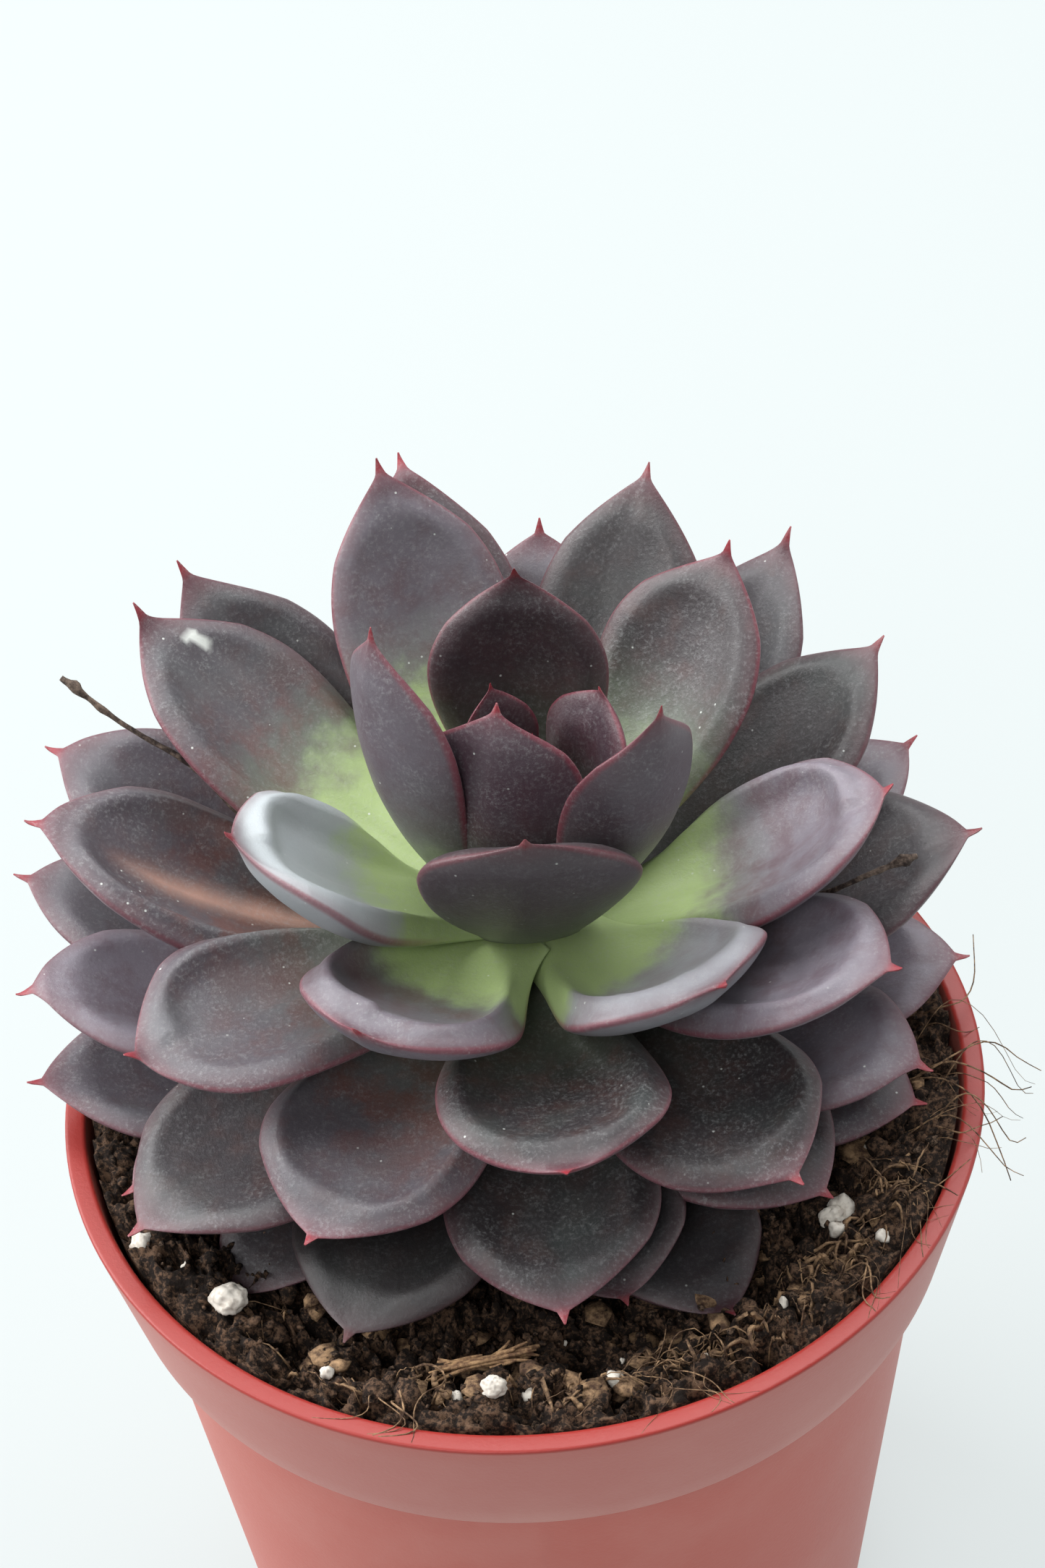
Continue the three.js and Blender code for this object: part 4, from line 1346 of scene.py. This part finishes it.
class SoilSettings(bpy.types.PropertyGroup):
    crown: size("Crown", 0.8, "Rise of the soil at the stem")
    most_heap: size("Highest Heap", 6.0, "The soil never rises higher than this above its level")
    lumpiness: size("Lumpiness", 1.45, "Height of the lumps")
    fine_crumbs: amount("Fine Crumbs", 3600, "Small dark crumbs")
    dry_crumbs: amount("Dry Crumbs", 900, "Paler dry crumbs")
    clods: amount("Clods", 760, "Large lumps of peat")
    fibres: amount("Fibres", 4200, "Fibres of peat")
    bark_bits: amount("Bark Bits", 260, "Flat bits of bark")
    small_grains: amount("Small Grains", 60, "Tiny white grains")
    root_hairs: amount("Root Hairs", 40, "Roots over the rim")
    splinters: amount("Splinters", 26, "Strands of the broken twig")
    twig_radius: size("Twig", 0.8, "Radius of the broken twig")
    dark_colour: colour("Dark Peat", "1A130F", "Wet peat")
    brown_colour: colour("Brown Peat", "604A3A", "Drier peat")
    light_colour: colour("Light Crumbs", "6E5A4A", "Dry crumbs")
    fibre_dark_colour: colour("Fibre Dark", "3C2A20", "Wet fibres")
    fibre_light_colour: colour("Fibre Light", "A08262", "Dry fibres")
    perlite_colour: colour("Perlite", "CFC9BE", "White grains")
    twig_dark_colour: colour("Twig Dark", "5A4030", "Bark of the twig")
    twig_light_colour: colour("Twig Light", "B08E68", "Broken wood")


class StageSettings(bpy.types.PropertyGroup):
    glow_colour: colour("Floor Glow", "F2F9F9", "Light from below through the table")
    floor_glow: share("Glow Strength", 0.6, "How much of the floor's light comes through it")
    floor_colour: colour("Floor", "6F7474", "The floor")
    sky_colour: colour("Sky", "F4F8FC", "Light from all round")
    sky_strength: share("Sky Strength", 0.32, "How strong it is")
    window_power: share("Window", 24.0, "Soft light from the left, behind")
    overhead_power: share("Overhead", 12.0, "Soft light from above")
    fill_power: share("Fill", 3.0, "Weak light from the right")
    sheen_power: share("Sheen Light", 4.0, "Small light that draws highlights on the front edges")
    exposure: share("Exposure", 0.0, "Of the picture")
    lens: share("Lens", 74.7, "Focal length in millimetres")


GROUPS = {
    "succulent_leaves": LeafSettings,
    "succulent_stems": StemSettings,
    "succulent_pot": PotSettings,
    "succulent_soil": SoilSettings,
    "succulent_stage": StageSettings,
}
OPERATORS = (
    SUCCULENT_OT_leaves,
    SUCCULENT_OT_stems,
    SUCCULENT_OT_pot,
    SUCCULENT_OT_soil,
    SUCCULENT_OT_litter,
    SUCCULENT_OT_stage,
)


class SUCCULENT_PT_panel(bpy.types.Panel):
    """Lists the pieces of the potted succulent and their sizes and colours"""

    bl_idname = "SUCCULENT_PT_panel"
    bl_label = "Potted Succulent"
    bl_space_type = "VIEW_3D"
    bl_region_type = "UI"
    bl_category = "Succulent"

    def draw(self, context):
        for operator in OPERATORS:
            self.layout.operator(operator.bl_idname)
        for key, group in GROUPS.items():
            box = self.layout.box()
            for name in group.__annotations__:
                box.prop(getattr(context.scene, key), name)


def register():
    for group in GROUPS.values():
        bpy.utils.register_class(group)
    for kind in (*OPERATORS, SUCCULENT_PT_panel):
        bpy.utils.register_class(kind)
    for key, group in GROUPS.items():
        setattr(bpy.types.Scene, key, PointerProperty(type=group))


def unregister():
    for key in GROUPS:
        delattr(bpy.types.Scene, key)
    for kind in (SUCCULENT_PT_panel, *reversed(OPERATORS)):
        bpy.utils.unregister_class(kind)
    for group in reversed(list(GROUPS.values())):
        bpy.utils.unregister_class(group)


def main():
    register()
    bpy.ops.succulent.leaves()
    bpy.ops.succulent.stems()
    bpy.ops.succulent.pot()
    bpy.ops.succulent.soil()
    bpy.ops.succulent.litter()
    bpy.ops.succulent.stage()


if __name__ == "__main__":
    main()
